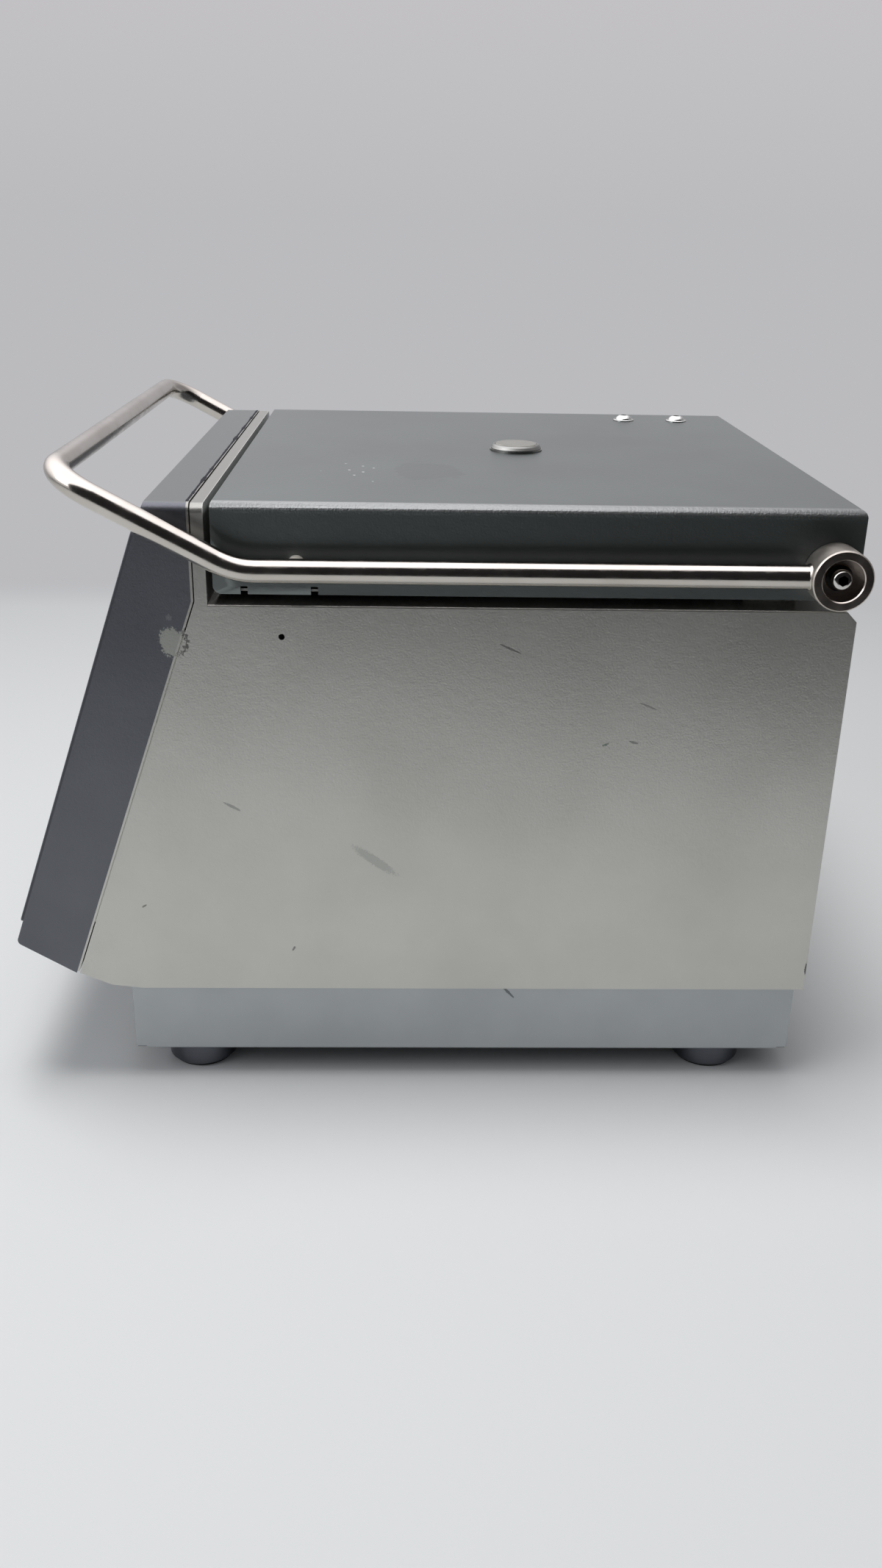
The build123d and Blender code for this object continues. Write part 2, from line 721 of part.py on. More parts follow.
# Drive: motor on a plate, on four rubber dampers
floor_z = plinth_base + sheet
plate_base = floor_z + damper_height
motor_base = plate_base + motor_plate_height
motor_top = bowl_base - motor_clearance
motor_height = motor_top - motor_base
with BuildPart() as motor_mounts:
    with BuildSketch(Plane.XY.offset(floor_z)):
        with Locations((0, chamber_y)):
            with GridLocations(damper_pitch, damper_pitch, 2, 2):
                Circle(damper_radius)
    extrude(amount=damper_height)
motor_mounts.part.label = "motor_mounts"
export_step(motor_mounts.part, "parts/motor_mounts.step")

with BuildPart() as motor_plate:
    with BuildSketch(Plane.XY.offset(plate_base)):
        with Locations((0, chamber_y)):
            RectangleRounded(motor_plate_size, motor_plate_size, motor_plate_corner)
    extrude(amount=motor_plate_height)
motor_plate.part.label = "motor_plate"
export_step(motor_plate.part, "parts/motor_plate.step")

with BuildPart() as drive_motor:
    with BuildSketch(Plane.XY.offset(motor_base)):
        with Locations((0, chamber_y)):
            Circle(motor_radius)
            with PolarLocations(motor_radius, motor_fins):
                Rectangle(2 * motor_fin_depth, motor_fin_gap, mode=Mode.SUBTRACT)
    extrude(amount=motor_height - motor_cap)
    with BuildSketch(Plane.XY.offset(motor_top - motor_cap)):
        with Locations((0, chamber_y)):
            Circle(motor_radius)
    extrude(amount=motor_cap, taper=motor_cap_taper)
    with BuildSketch(Plane.XY.offset(motor_top)):
        with Locations((0, chamber_y)):
            Circle(spindle_radius + running)
    extrude(amount=-bearing_depth, mode=Mode.SUBTRACT)
drive_motor.part.label = "drive_motor"
export_step(drive_motor.part, "parts/drive_motor.step")

# Rotor spindle, with a shoulder that carries the carousel
carousel_z = deck - carousel_drop
hub_base = carousel_z - hub_height / 2
hub_top = hub_base + hub_height
spindle_base = motor_top - bearing_depth + spindle_gap
with BuildPart() as rotor_spindle:
    with BuildSketch(Plane.XY.offset(spindle_base)):
        with Locations((0, chamber_y)):
            Circle(spindle_radius)
    extrude(amount=hub_base - spindle_base)
    with BuildSketch(Plane.XY.offset(hub_base)):
        with Locations((0, chamber_y)):
            Circle(rotor_hub_radius - shoulder_set)
    extrude(amount=-shoulder_height, taper=shoulder_taper)
    with BuildSketch(Plane.XY.offset(hub_base)):
        with Locations((0, chamber_y)):
            Circle(nose_radius)
    extrude(amount=hub_height - nose_gap)
    with BuildSketch(Plane.XY.offset(hub_top - nose_gap)):
        with Locations((0, chamber_y)):
            Circle(stud_radius)
    extrude(amount=stud_length)
rotor_spindle.part.label = "rotor_spindle"
export_step(rotor_spindle.part, "parts/rotor_spindle.step")

# Carousel: a disc with twelve pockets, each with two open-topped trunnion slots
holder_radius = holder_bore + holder_wall
pocket_half = holder_radius + pocket_gap
pocket_inner = holder_circle - pocket_reach
slot_reach = pocket_half + trunnion_length + trunnion_gap
with BuildPart() as carousel_plate:
    with BuildSketch(Plane.XY.offset(carousel_z - carousel_height / 2)):
        with Locations((0, chamber_y)):
            Circle(carousel_radius)
    extrude(amount=carousel_height)
    with BuildSketch(Plane.XY.offset(hub_base)):
        with Locations((0, chamber_y)):
            Circle(rotor_hub_radius)
    extrude(amount=hub_height)
    with BuildSketch(Plane.XY.offset(hub_base)):
        with Locations((0, chamber_y)):
            Circle(nose_radius + running)
    extrude(amount=hub_height, mode=Mode.SUBTRACT)
    with BuildSketch(Plane.XY.offset(carousel_z - carousel_height / 2)):
        with Locations((0, chamber_y)):
            with PolarLocations(pocket_inner + carousel_radius / 2, holder_count):
                Rectangle(carousel_radius, 2 * pocket_half)
    extrude(amount=carousel_height, mode=Mode.SUBTRACT)
    # Slots that the trunnions drop into, round at the bottom
    with BuildSketch(Plane.XY.offset(carousel_z)):
        with Locations((0, chamber_y)):
            with PolarLocations(holder_circle, holder_count):
                Rectangle(2 * (trunnion_radius + running), 2 * slot_reach)
    extrude(amount=carousel_height / 2, mode=Mode.SUBTRACT)
    for index in range(holder_count):
        turn = Pos(0, chamber_y, carousel_z) * Rot(0, 0, index * 360 / holder_count)
        with Locations(turn * Pos(holder_circle, 0, 0) * Rot(90, 0, 0)):
            Cylinder(trunnion_radius + running, 2 * slot_reach, mode=Mode.SUBTRACT)
carousel_plate.part.label = "carousel_plate"
export_step(carousel_plate.part, "parts/carousel_plate.step")

with BuildPart() as rotor_nut:
    with BuildSketch(Plane.XY.offset(hub_top)):
        with Locations((0, chamber_y)):
            Circle(nut_radius)
    extrude(amount=rotor_nut_height)
    chamfer(rotor_nut.faces().sort_by(Axis.Z)[-1].edges(), nut_chamfer)
    with BuildSketch(Plane.XY.offset(hub_top)):
        with Locations((0, chamber_y)):
            with PolarLocations(nut_radius + nut_chamfer, nut_flutes):
                Circle(flute_radius)
    extrude(amount=rotor_nut_height, mode=Mode.SUBTRACT)
    with BuildSketch(Plane.XY.offset(hub_top)):
        with Locations((0, chamber_y)):
            Circle(stud_radius)
    extrude(amount=stud_length, mode=Mode.SUBTRACT)
rotor_nut.part.label = "rotor_nut"
export_step(rotor_nut.part, "parts/rotor_nut.step")

# Tube holders: sleeves with a drained cup, a viewing window each side and two trunnions
with BuildPart() as tube_holder:
    with BuildSketch(Plane.XY.offset(-holder_below)):
        Circle(holder_radius)
    extrude(amount=holder_below + holder_above)
    with BuildSketch(Plane.XZ):
        with Locations((0, 0)):
            Circle(trunnion_radius)
    extrude(amount=pocket_half + trunnion_length, both=True)
    with BuildSketch(Plane.XY.offset(-holder_below + holder_floor)):
        Circle(holder_bore)
    extrude(amount=holder_below + holder_above, mode=Mode.SUBTRACT)
    with BuildSketch(Plane.YZ):
        with Locations((0, -holder_window_drop)):
            SlotOverall(holder_window, holder_window_width, rotation=90)
    extrude(amount=2 * holder_radius, both=True, mode=Mode.SUBTRACT)
    with BuildSketch(Plane.XY.offset(-holder_below)):
        Circle(holder_drain)
    extrude(amount=holder_floor, mode=Mode.SUBTRACT)

for index in range(holder_count):
    turn = Pos(0, chamber_y, carousel_z) * Rot(0, 0, index * 360 / holder_count)
    holder = tube_holder.part.moved(turn * Pos(holder_circle, 0, 0))
    holder.label = f"tube_holder_{index + 1:02d}"
    export_step(holder, f"parts/{holder.label}.step")

# Lid shell: a folded box with skirts, notches and a hinge corner cut round the axis
screw_spots = [(-half + arm_inset, lid_rear - screw_first - screw_pitch * i) for i in range(2)]
notch_spots = [lid_front + notch_front + notch_pitch * i for i in range(2)]
with BuildPart() as lid_shell:
    with BuildSketch(Plane.XY.offset(skirt_base)):
        with Locations((0, chamber_y)):
            Rectangle(width, lid_length)
    extrude(amount=lid_height)
    fillet(lid_shell.faces().sort_by(Axis.Z)[-1].edges(), bend_radius)
    offset(amount=-sheet, openings=lid_shell.faces().sort_by(Axis.Z)[0])
    # Rear lower corner, cleared along an arc round the hinge axis
    with BuildSketch(Plane.YZ):
        with Locations((lid_rear, skirt_base)):
            Rectangle(2 * pivot_set, 2 * (pivot_z - skirt_base))
        with Locations((pivot_y, pivot_z)):
            Circle(corner_clearance, mode=Mode.SUBTRACT)
    extrude(amount=half, both=True, mode=Mode.SUBTRACT)
    # Front lower corner, rounded
    with BuildSketch(Plane.YZ):
        with Locations((lid_front, skirt_base)):
            Rectangle(2 * skirt_corner, 2 * skirt_corner)
        with Locations((lid_front + skirt_corner, skirt_base + skirt_corner)):
            Circle(skirt_corner, mode=Mode.SUBTRACT)
    extrude(amount=half, both=True, mode=Mode.SUBTRACT)
    # Skirt notches, hinge holes, screw holes and the sight port
    with BuildSketch(Plane.YZ):
        with Locations(*[(spot, skirt_base) for spot in notch_spots]):
            Rectangle(notch_width, 2 * notch_height)
    extrude(amount=half, both=True, mode=Mode.SUBTRACT)
    with BuildSketch(Plane.YZ):
        with Locations((pivot_y, pivot_z)):
            Circle(shaft_radius + running)
    extrude(amount=half, both=True, mode=Mode.SUBTRACT)
    with BuildSketch(Plane.XY.offset(lid_top)):
        with Locations((0, chamber_y)):
            Circle(sight_radius)
        with Locations(*screw_spots):
            Circle(screw_radius + screw_clearance)
    extrude(amount=-sheet, mode=Mode.SUBTRACT)
lid_shell.part.label = "lid_shell"
export_step(lid_shell.part, "parts/lid_shell.step")

# Lid liner: a plate with a dish over the rotor, notched round the hinge brackets
liner_base = skirt_base + liner_rise
dish_radius = bowl_radius - liner_dish_inset
liner_half = inner_half - liner_margin
liner_front = lid_front + sheet + liner_margin
liner_rear = pivot_y - liner_hinge_gap
bracket_x = half - bracket_inset - bracket_width / 2
notch_length = bracket_reach - liner_hinge_gap + bracket_plate
post_rows = (lid_rear - post_rear_inset, lid_front + post_front_inset)
post_spots = [(side * (half - post_side_inset), row) for side in (-1, 1) for row in post_rows]
with BuildPart() as lid_liner:
    with BuildSketch(Plane.XY.offset(liner_base)):
        with Locations((0, (liner_front + liner_rear) / 2)):
            RectangleRounded(2 * liner_half, liner_rear - liner_front, liner_corner)
    extrude(amount=sheet)
    with BuildSketch(Plane.XY.offset(liner_base)):
        with Locations((0, chamber_y)):
            Circle(dish_radius)
    extrude(amount=liner_dish_depth, taper=dish_taper)
    with BuildSketch(Plane.XY.offset(liner_base)):
        with Locations((0, chamber_y)):
            Circle(dish_radius - sheet)
    extrude(amount=liner_dish_depth - sheet, taper=dish_taper, mode=Mode.SUBTRACT)
    with BuildSketch(Plane.XY.offset(liner_base)):
        with Locations((0, chamber_y)):
            Circle(sight_radius)
        with Locations((0, striker_y)):
            Rectangle(2 * striker_half, striker_depth)
        for side in (-1, 1):
            with Locations((side * bracket_x, liner_rear)):
                Rectangle(bracket_width + 2 * bracket_gap, 2 * notch_length)
    extrude(amount=liner_dish_depth, mode=Mode.SUBTRACT)
lid_liner.part.label = "lid_liner"
export_step(lid_liner.part, "parts/lid_liner.step")

with BuildPart() as liner_posts:
    with BuildSketch(Plane.XY.offset(liner_base + sheet)):
        with Locations(*post_spots):
            RegularPolygon(post_radius, 6)
    extrude(amount=lid_top - sheet - liner_base - sheet)
liner_posts.part.label = "liner_posts"
export_step(liner_posts.part, "parts/liner_posts.step")

# Lid seal: a rubber ring under the liner, over the bowl's flange
seal_outer = bowl_radius + bowl_flange - seal_inset
with BuildPart() as lid_seal:
    with BuildSketch(Plane.XY.offset(liner_base)):
        with Locations((0, chamber_y)):
            Circle(seal_outer)
            Circle(seal_outer - seal_width, mode=Mode.SUBTRACT)
    extrude(amount=-(liner_base - bowl_top - seal_gap))
lid_seal.part.label = "lid_seal"
export_step(lid_seal.part, "parts/lid_seal.step")

# Sight port: a clear plug through lid and liner, held by a metal ring
with BuildPart() as sight_glass:
    with BuildSketch(Plane.XY.offset(liner_base + liner_dish_depth - sheet)):
        with Locations((0, chamber_y)):
            Circle(sight_radius)
    extrude(amount=lid_top + sight_dome - liner_base - liner_dish_depth + sheet)
    fillet(sight_glass.faces().sort_by(Axis.Z)[-1].edges(), sight_edge)
sight_glass.part.label = "sight_glass"
export_step(sight_glass.part, "parts/sight_glass.step")

sight_axis = Plane(origin=(0, chamber_y, lid_top), x_dir=(1, 0, 0), z_dir=(0, -1, 0))
with BuildPart() as sight_ring:
    with BuildSketch(sight_axis):
        with BuildLine():
            Polyline(
                (sight_radius, 0),
                (sight_ring_radius, 0),
                (sight_ring_radius, sight_ring_foot),
                (sight_ring_radius - sight_groove, sight_ring_foot + 0.1),
                (sight_ring_radius - sight_groove, sight_ring_foot + sight_groove),
                (sight_ring_top + 0.6, sight_ring_height - 0.9),
                (sight_ring_top - 0.2, sight_ring_height),
                (sight_radius, sight_ring_height),
                close=True,
            )
        make_face()
    revolve(axis=Axis((0, chamber_y, 0), (0, 0, 1)))
sight_ring.part.label = "sight_ring"
export_step(sight_ring.part, "parts/sight_ring.step")

# Striker: passes down through the deck and takes the latch bolt
striker_base = latch_z - striker_below
with BuildPart() as lid_striker:
    with BuildSketch(Plane.XY.offset(striker_base)):
        with Locations((0, striker_y)):
            Rectangle(2 * striker_half, striker_depth)
    extrude(amount=liner_base + sheet - striker_base)
    fillet(lid_striker.faces().sort_by(Axis.Z)[0].edges(), striker_edge)
    with BuildSketch(Plane.XY.offset(liner_base + sheet)):
        with Locations((0, striker_y + striker_shift)):
            Rectangle(striker_flange, striker_depth + striker_ledge)
    extrude(amount=striker_flange_height)
    with BuildSketch(Plane.YZ):
        with Locations((striker_y, latch_z)):
            Circle(bolt_radius + bolt_play)
    extrude(amount=striker_half, both=True, mode=Mode.SUBTRACT)
lid_striker.part.label = "lid_striker"
export_step(lid_striker.part, "parts/lid_striker.step")

# Friction arm: clamps on the hinge shaft and is held up under the lid by two screws
arm_x = -half + arm_inset
pad_set = arm_reach - arm_pad_length
lid_under = lid_top - sheet
with BuildPart() as friction_arm:
    with BuildSketch(Plane.YZ.offset(arm_x)):
        with BuildLine():
            Polyline(
                (pivot_y - 0.4 * arm_hub_radius, pivot_z - 0.9 * arm_hub_radius),
                (pivot_y - arm_reach, lid_under - arm_depth),
                (pivot_y - arm_reach, lid_under),
                (pivot_y - pad_set, lid_under),
                (pivot_y + 0.9 * arm_hub_radius, pivot_z + 0.4 * arm_hub_radius),
                close=True,
            )
        make_face()
        with Locations((pivot_y, pivot_z)):
            Circle(arm_hub_radius)
    extrude(amount=arm_width / 2, both=True)
    with BuildSketch(Plane.XY.offset(lid_under)):
        with Locations((arm_x, pivot_y - pad_set - arm_pad_length / 2)):
            Rectangle(arm_pad_width, arm_pad_length)
    extrude(amount=-arm_pad_height)
    with BuildSketch(Plane.YZ.offset(arm_x)):
        with Locations((pivot_y, pivot_z)):
            Circle(shaft_radius + running)
    extrude(amount=arm_width, both=True, mode=Mode.SUBTRACT)
    with BuildSketch(Plane.XY.offset(lid_under)):
        with Locations(*screw_spots):
            Circle(screw_radius)
    extrude(amount=sheet - screw_length, mode=Mode.SUBTRACT)
friction_arm.part.label = "friction_arm"
export_step(friction_arm.part, "parts/friction_arm.step")

with BuildPart() as arm_screws:
    for spot in screw_spots:
        head = Plane(origin=(*spot, lid_top), x_dir=(1, 0, 0), z_dir=(0, -1, 0))
        with BuildSketch(head):
            with BuildLine():
                Polyline(
                    (0, button_height),
                    (0, -screw_length),
                    (screw_radius, -screw_length),
                    (screw_radius, 0),
                    (button_flange_radius, 0),
                    (button_flange_radius, button_flange - button_rim),
                    (button_flange_radius - button_rim, button_flange),
                    (button_radius, button_flange),
                )
                ThreePointArc(
                    (button_radius, button_flange),
                    (button_radius - button_bulge, button_height - button_bulge),
                    (button_crown, button_height),
                )
                Line((button_crown, button_height), (0, button_height))
            make_face()
        revolve(axis=Axis((*spot, 0), (0, 0, 1)))
    with BuildSketch(Plane.XY.offset(lid_top + button_height)):
        with Locations(*screw_spots):
            RegularPolygon(button_hex / 2, 6, major_radius=False)
    extrude(amount=-button_hex_depth, mode=Mode.SUBTRACT)
arm_screws.part.label = "arm_screws"
export_step(arm_screws.part, "parts/arm_screws.step")

# Bail: one bent tube with a boss welded to each end
arm_line = half + bail_offset
knee_y = lid_rear - knee_set
bar_y = lid_rear - bar_set
bar_z = pivot_z + (knee_y - bar_y) * tan(radians(knee_angle))
tube_end = pivot_y - boss_radius + tube_overlap
boss_in = half + boss_gap
boss_out = boss_in + boss_length
counterbore_floor = boss_out - counterbore_depth
with BuildPart() as bail_handle:
    with BuildLine() as bail_path:
        FilletPolyline(
            (arm_line, tube_end, pivot_z),
            (arm_line, knee_y, pivot_z),
            (arm_line, bar_y, bar_z),
            (-arm_line, bar_y, bar_z),
            (-arm_line, knee_y, pivot_z),
            (-arm_line, tube_end, pivot_z),
            radius=[knee_bend, bar_bend, bar_bend, knee_bend],
        )
    with BuildSketch(Plane(origin=(arm_line, tube_end, pivot_z), z_dir=(0, -1, 0))):
        Circle(bail_radius)
        Circle(bail_radius - bail_wall, mode=Mode.SUBTRACT)
    sweep(path=bail_path.wires()[0])
    for side in (-1, 1):
        with BuildSketch(Plane.YZ.offset(side * boss_in)):
            with Locations((pivot_y, pivot_z)):
                Circle(boss_radius)
        extrude(amount=side * boss_length)
        with BuildSketch(Plane.YZ.offset(side * boss_out)):
            with Locations((pivot_y, pivot_z)):
                Circle(counterbore_radius)
        extrude(amount=-side * counterbore_depth, mode=Mode.SUBTRACT)
        with BuildSketch(Plane.YZ.offset(side * boss_in)):
            with Locations((pivot_y, pivot_z)):
                Circle(bush_radius)
        extrude(amount=side * boss_length, mode=Mode.SUBTRACT)
    rims = bail_handle.edges().filter_by(GeomType.CIRCLE).filter_by(
        lambda edge: abs(abs(edge.center().X) - boss_out) < 0.01
    )
    chamfer(rims.filter_by(lambda edge: abs(edge.radius - boss_radius) < 0.01), boss_chamfer)
    chamfer(rims.filter_by(lambda edge: abs(edge.radius - counterbore_radius) < 0.01), bore_chamfer)
bail_handle.part.label = "bail_handle"
export_step(bail_handle.part, "parts/bail_handle.step")

with BuildPart() as bail_bushes:
    for side in (-1, 1):
        with BuildSketch(Plane.YZ.offset(side * boss_in)):
            with Locations((pivot_y, pivot_z)):
                Circle(bush_radius)
                Circle(shaft_radius + running, mode=Mode.SUBTRACT)
        extrude(amount=side * (boss_length - counterbore_depth))
bail_bushes.part.label = "bail_bushes"
export_step(bail_bushes.part, "parts/bail_bushes.step")

# Spacers that fix the bail's arms to the lid's sides, hollowed to seat on the tube
spacer_y = lid_rear - spacer_set
with BuildPart() as bail_spacers:
    for side in (-1, 1):
        with BuildSketch(Plane.YZ.offset(side * half)):
            with Locations((spacer_y, pivot_z + spacer_rise)):
                Circle(spacer_radius)
        extrude(amount=side * (bail_offset - 2))
        with BuildSketch(Plane.XZ.offset(-spacer_y)):
            with Locations((side * arm_line, pivot_z)):
                Circle(bail_radius)
        extrude(amount=2 * spacer_radius, both=True, mode=Mode.SUBTRACT)
bail_spacers.part.label = "bail_spacers"
export_step(bail_spacers.part, "parts/bail_spacers.step")

# Hinge shaft, with the washers and screws that keep the bosses on
shaft_end = counterbore_floor + shaft_proud
with BuildPart() as hinge_shaft:
    with BuildSketch(Plane.YZ):
        with Locations((pivot_y, pivot_z)):
            Circle(shaft_radius)
    extrude(amount=shaft_end, both=True)
hinge_shaft.part.label = "hinge_shaft"
export_step(hinge_shaft.part, "parts/hinge_shaft.step")

with BuildPart() as pivot_washers:
    for side in (-1, 1):
        with BuildSketch(Plane.YZ.offset(side * shaft_end)):
            with Locations((pivot_y, pivot_z)):
                Circle(washer_radius)
        extrude(amount=side * washer_height)
pivot_washers.part.label = "pivot_washers"
export_step(pivot_washers.part, "parts/pivot_washers.step")

head_in = shaft_end + washer_height
with BuildPart() as pivot_screws:
    for side in (-1, 1):
        with BuildSketch(Plane.YZ.offset(side * head_in)):
            with Locations((pivot_y, pivot_z)):
                Circle(screw_head_radius)
        extrude(amount=side * screw_head_height)
        with BuildSketch(Plane.YZ.offset(side * (head_in + screw_head_height))):
            with Locations((pivot_y, pivot_z)):
                RegularPolygon(hex_flat / 2, 6, major_radius=False)
        extrude(amount=-side * hex_depth, mode=Mode.SUBTRACT)
    tops = pivot_screws.edges().filter_by(GeomType.CIRCLE).filter_by(
        lambda edge: abs(abs(edge.center().X) - head_in - screw_head_height) < 0.01
    )
    fillet(tops, screw_head_edge)
pivot_screws.part.label = "pivot_screws"
export_step(pivot_screws.part, "parts/pivot_screws.step")

# Hinge brackets: screwed to the deck in front of the axis, clear of the lid's rear wall
foot_line = bracket_x - bracket_width / 4 - bracket_foot / 2
with BuildPart() as hinge_brackets:
    for side in (-1, 1):
        with BuildSketch(Plane.YZ.offset(side * (bracket_x - bracket_width / 2))):
            with BuildLine():
                Polyline(
                    (pivot_y - bracket_reach, deck),
                    (pivot_y - bracket_heel, deck),
                    (pivot_y - hub_radius, pivot_z - hub_radius / 2),
                    (pivot_y, pivot_z),
                    (pivot_y - hub_radius / 3, pivot_z + hub_radius * 0.94),
                    (pivot_y - bracket_reach, deck + 2 * bracket_plate),
                    close=True,
                )
            make_face()
            with Locations((pivot_y, pivot_z)):
                Circle(hub_radius)
        extrude(amount=side * bracket_width)
        with BuildSketch(Plane.XY.offset(deck)):
            with Locations((side * foot_line, pivot_y - (bracket_reach + bracket_heel) / 2)):
                Rectangle(bracket_foot, bracket_reach - bracket_heel)
        extrude(amount=bracket_plate)
        with BuildSketch(Plane.YZ.offset(side * (bracket_x - bracket_width / 2))):
            with Locations((pivot_y, pivot_z)):
                Circle(shaft_radius)
        extrude(amount=side * bracket_width, mode=Mode.SUBTRACT)
hinge_brackets.part.label = "hinge_brackets"
export_step(hinge_brackets.part, "parts/hinge_brackets.step")

# Lid latch: frame, solenoid, and the sliding bolt with its emergency release rod
deck_under = deck - sheet
bar_line = striker_y + striker_depth / 2 + bar_gap + bolt_bar / 2
frame_front = striker_y - striker_depth / 2 - frame_margin
frame_rear = chamber_y - bowl_radius - guard_gap - guard_wall - frame_guard_gap
coil_right = -slot_half - coil_gap
coil_left = coil_right - coil_length
with BuildPart() as latch_frame:
    with BuildSketch(Plane.XY.offset(deck_under)):
        with Locations(((coil_left + frame_right) / 2, (frame_front + frame_rear) / 2)):
            Rectangle(frame_right - coil_left, frame_rear - frame_front)
        with Locations((0, striker_y)):
            Rectangle(2 * slot_half, slot_depth, mode=Mode.SUBTRACT)
    extrude(amount=-frame_sheet)
    with BuildSketch(Plane.YZ.offset(frame_right)):
        with Locations((bar_line, (deck_under + latch_z - frame_lug_drop) / 2)):
            Rectangle(frame_lug, deck_under - latch_z + frame_lug_drop)
        with Locations((bar_line, latch_z)):
            Rectangle(bolt_bar + bolt_play, bolt_bar + 3 * bolt_play, mode=Mode.SUBTRACT)
    extrude(amount=-frame_sheet)
latch_frame.part.label = "latch_frame"
export_step(latch_frame.part, "parts/latch_frame.step")

coil_height = 2 * (deck_under - frame_sheet - latch_z)
with BuildPart() as latch_solenoid:
    with BuildSketch(Plane.YZ.offset(coil_left)):
        with Locations((bar_line, latch_z)):
            Rectangle(coil_size, coil_height)
            Circle(plunger_radius + running, mode=Mode.SUBTRACT)
    extrude(amount=coil_length)
latch_solenoid.part.label = "latch_solenoid"
export_step(latch_solenoid.part, "parts/latch_solenoid.step")

nose_tip = -striker_half - bolt_gap
nose_root = nose_tip - bolt_travel
arm_right = frame_right + 2 * bolt_travel
rod_end = inner_half - release_gap
with BuildPart() as latch_bolt:
    with BuildSketch(Plane.YZ.offset(nose_root)):
        with Locations((striker_y, latch_z)):
            Circle(bolt_radius)
    extrude(amount=nose_tip - nose_root)
    with BuildSketch(Plane.XY.offset(latch_z - bolt_bar / 2)):
        with Locations((nose_root - finger / 2, (striker_y + bar_line) / 2)):
            Rectangle(finger, bar_line - striker_y + bolt_bar)
        with Locations(((nose_root + arm_right) / 2, bar_line)):
            Rectangle(arm_right - nose_root, bolt_bar)
        with Locations((arm_right - finger / 2, (bar_line + release_y) / 2)):
            Rectangle(finger, release_y - bar_line + bolt_bar)
    extrude(amount=bolt_bar)
    with BuildSketch(Plane.YZ.offset(arm_right)):
        with Locations((release_y, latch_z)):
            Circle(release_radius)
    extrude(amount=rod_end - arm_right)
    with BuildSketch(Plane.YZ.offset(nose_root - finger)):
        with Locations((bar_line, latch_z)):
            Circle(plunger_radius)
    extrude(amount=coil_left + coil_grip - nose_root + finger)
latch_bolt.part.label = "latch_bolt"
export_step(latch_bolt.part, "parts/latch_bolt.step")

# Mains inlet with its fuse drawer and rocker switch, in one frame on the rear panel
inlet_plane = Plane(origin=(inlet_x, rear, inlet_z), x_dir=(-1, 0, 0), z_dir=(0, 1, 0))
socket_spot = (0, -14.0)
drawer_spot = (0, 3.5)
rocker_spot = (0, 19.0)
pin_spots = [(-7, -16.0), (7, -16.0), (0, -11.5)]
rocker_plane = inlet_plane.offset(trim - rocker_set)
rocker_axis = Plane(
    origin=rocker_plane.from_local_coords(Vector(*rocker_spot, 0)),
    x_dir=(-1, 0, 0),
    z_dir=(0, 0, -1),
)
with BuildPart() as mains_inlet:
    with BuildSketch(inlet_plane):
        RectangleRounded(inlet_width, inlet_height, inlet_corner)
    extrude(amount=trim)
    fillet(mains_inlet.faces().sort_by(Axis.Y)[-1].edges(), inlet_edge)
    with BuildSketch(inlet_plane):
        inlet_side = inlet_lap + inlet_clearance
        Rectangle(inlet_width - 2 * inlet_side, inlet_height - 2 * inlet_side)
    extrude(amount=-inlet_depth)
    with BuildSketch(inlet_plane.offset(trim)):
        with Locations(socket_spot):
            RectangleRounded(socket_width, socket_height, socket_corner)
        with Locations(drawer_spot):
            Rectangle(drawer_width + 2 * drawer_gap, drawer_height + 2 * drawer_gap)
        with Locations(rocker_spot):
            Rectangle(2 * (rocker_radius + rocker_room), rocker_width + 2 * rocker_side_gap)
    extrude(amount=-inlet_well, mode=Mode.SUBTRACT)
    with BuildSketch(rocker_axis):
        Circle(rocker_pin + running)
    extrude(amount=rocker_width / 2 + rocker_pin_length + running, both=True, mode=Mode.SUBTRACT)
    with BuildSketch(inlet_plane.offset(trim - inlet_well)):
        with Locations(*pin_spots):
            Rectangle(pin_width, pin_height)
    extrude(amount=pin_length)
mains_inlet.part.label = "mains_inlet"
export_step(mains_inlet.part, "parts/mains_inlet.step")

with BuildPart() as fuse_drawer:
    with BuildSketch(inlet_plane.offset(trim)):
        with Locations(drawer_spot):
            Rectangle(drawer_width, drawer_height)
    extrude(amount=-drawer_depth)
    with BuildSketch(inlet_plane.offset(trim)):
        with Locations(drawer_spot):
            Rectangle(drawer_grip, drawer_grip_height)
    extrude(amount=-drawer_grip_depth, mode=Mode.SUBTRACT)
fuse_drawer.part.label = "fuse_drawer"
export_step(fuse_drawer.part, "parts/fuse_drawer.step")

# Rocker: a drum segment with a shallow V face and two pivot pins, tipped to its off side
rocker_span = 1.5 * rocker_radius
with BuildPart() as power_rocker:
    with BuildSketch(rocker_axis.rotated((0, 0, rocker_half_angle))):
        Circle(rocker_radius)
        with BuildLine():
            Polyline(
                (-rocker_span, rocker_span),
                (-rocker_span, rocker_crest),
                (0, rocker_valley),
                (rocker_span, rocker_crest),
                (rocker_span, rocker_span),
                close=True,
            )
        make_face(mode=Mode.SUBTRACT)
        with Locations((0, -rocker_cut - rocker_radius / 2)):
            Rectangle(2 * rocker_span, rocker_radius, mode=Mode.SUBTRACT)
    extrude(amount=rocker_width / 2, both=True)
    with BuildSketch(rocker_axis):
        Circle(rocker_pin)
    extrude(amount=rocker_width / 2 + rocker_pin_length, both=True)
power_rocker.part.label = "power_rocker"
export_step(power_rocker.part, "parts/power_rocker.step")
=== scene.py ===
"""Carousel centrifuge: finishes, small pieces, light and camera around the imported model."""
import math

import bmesh
import bpy
from mathutils import Matrix, Vector, noise


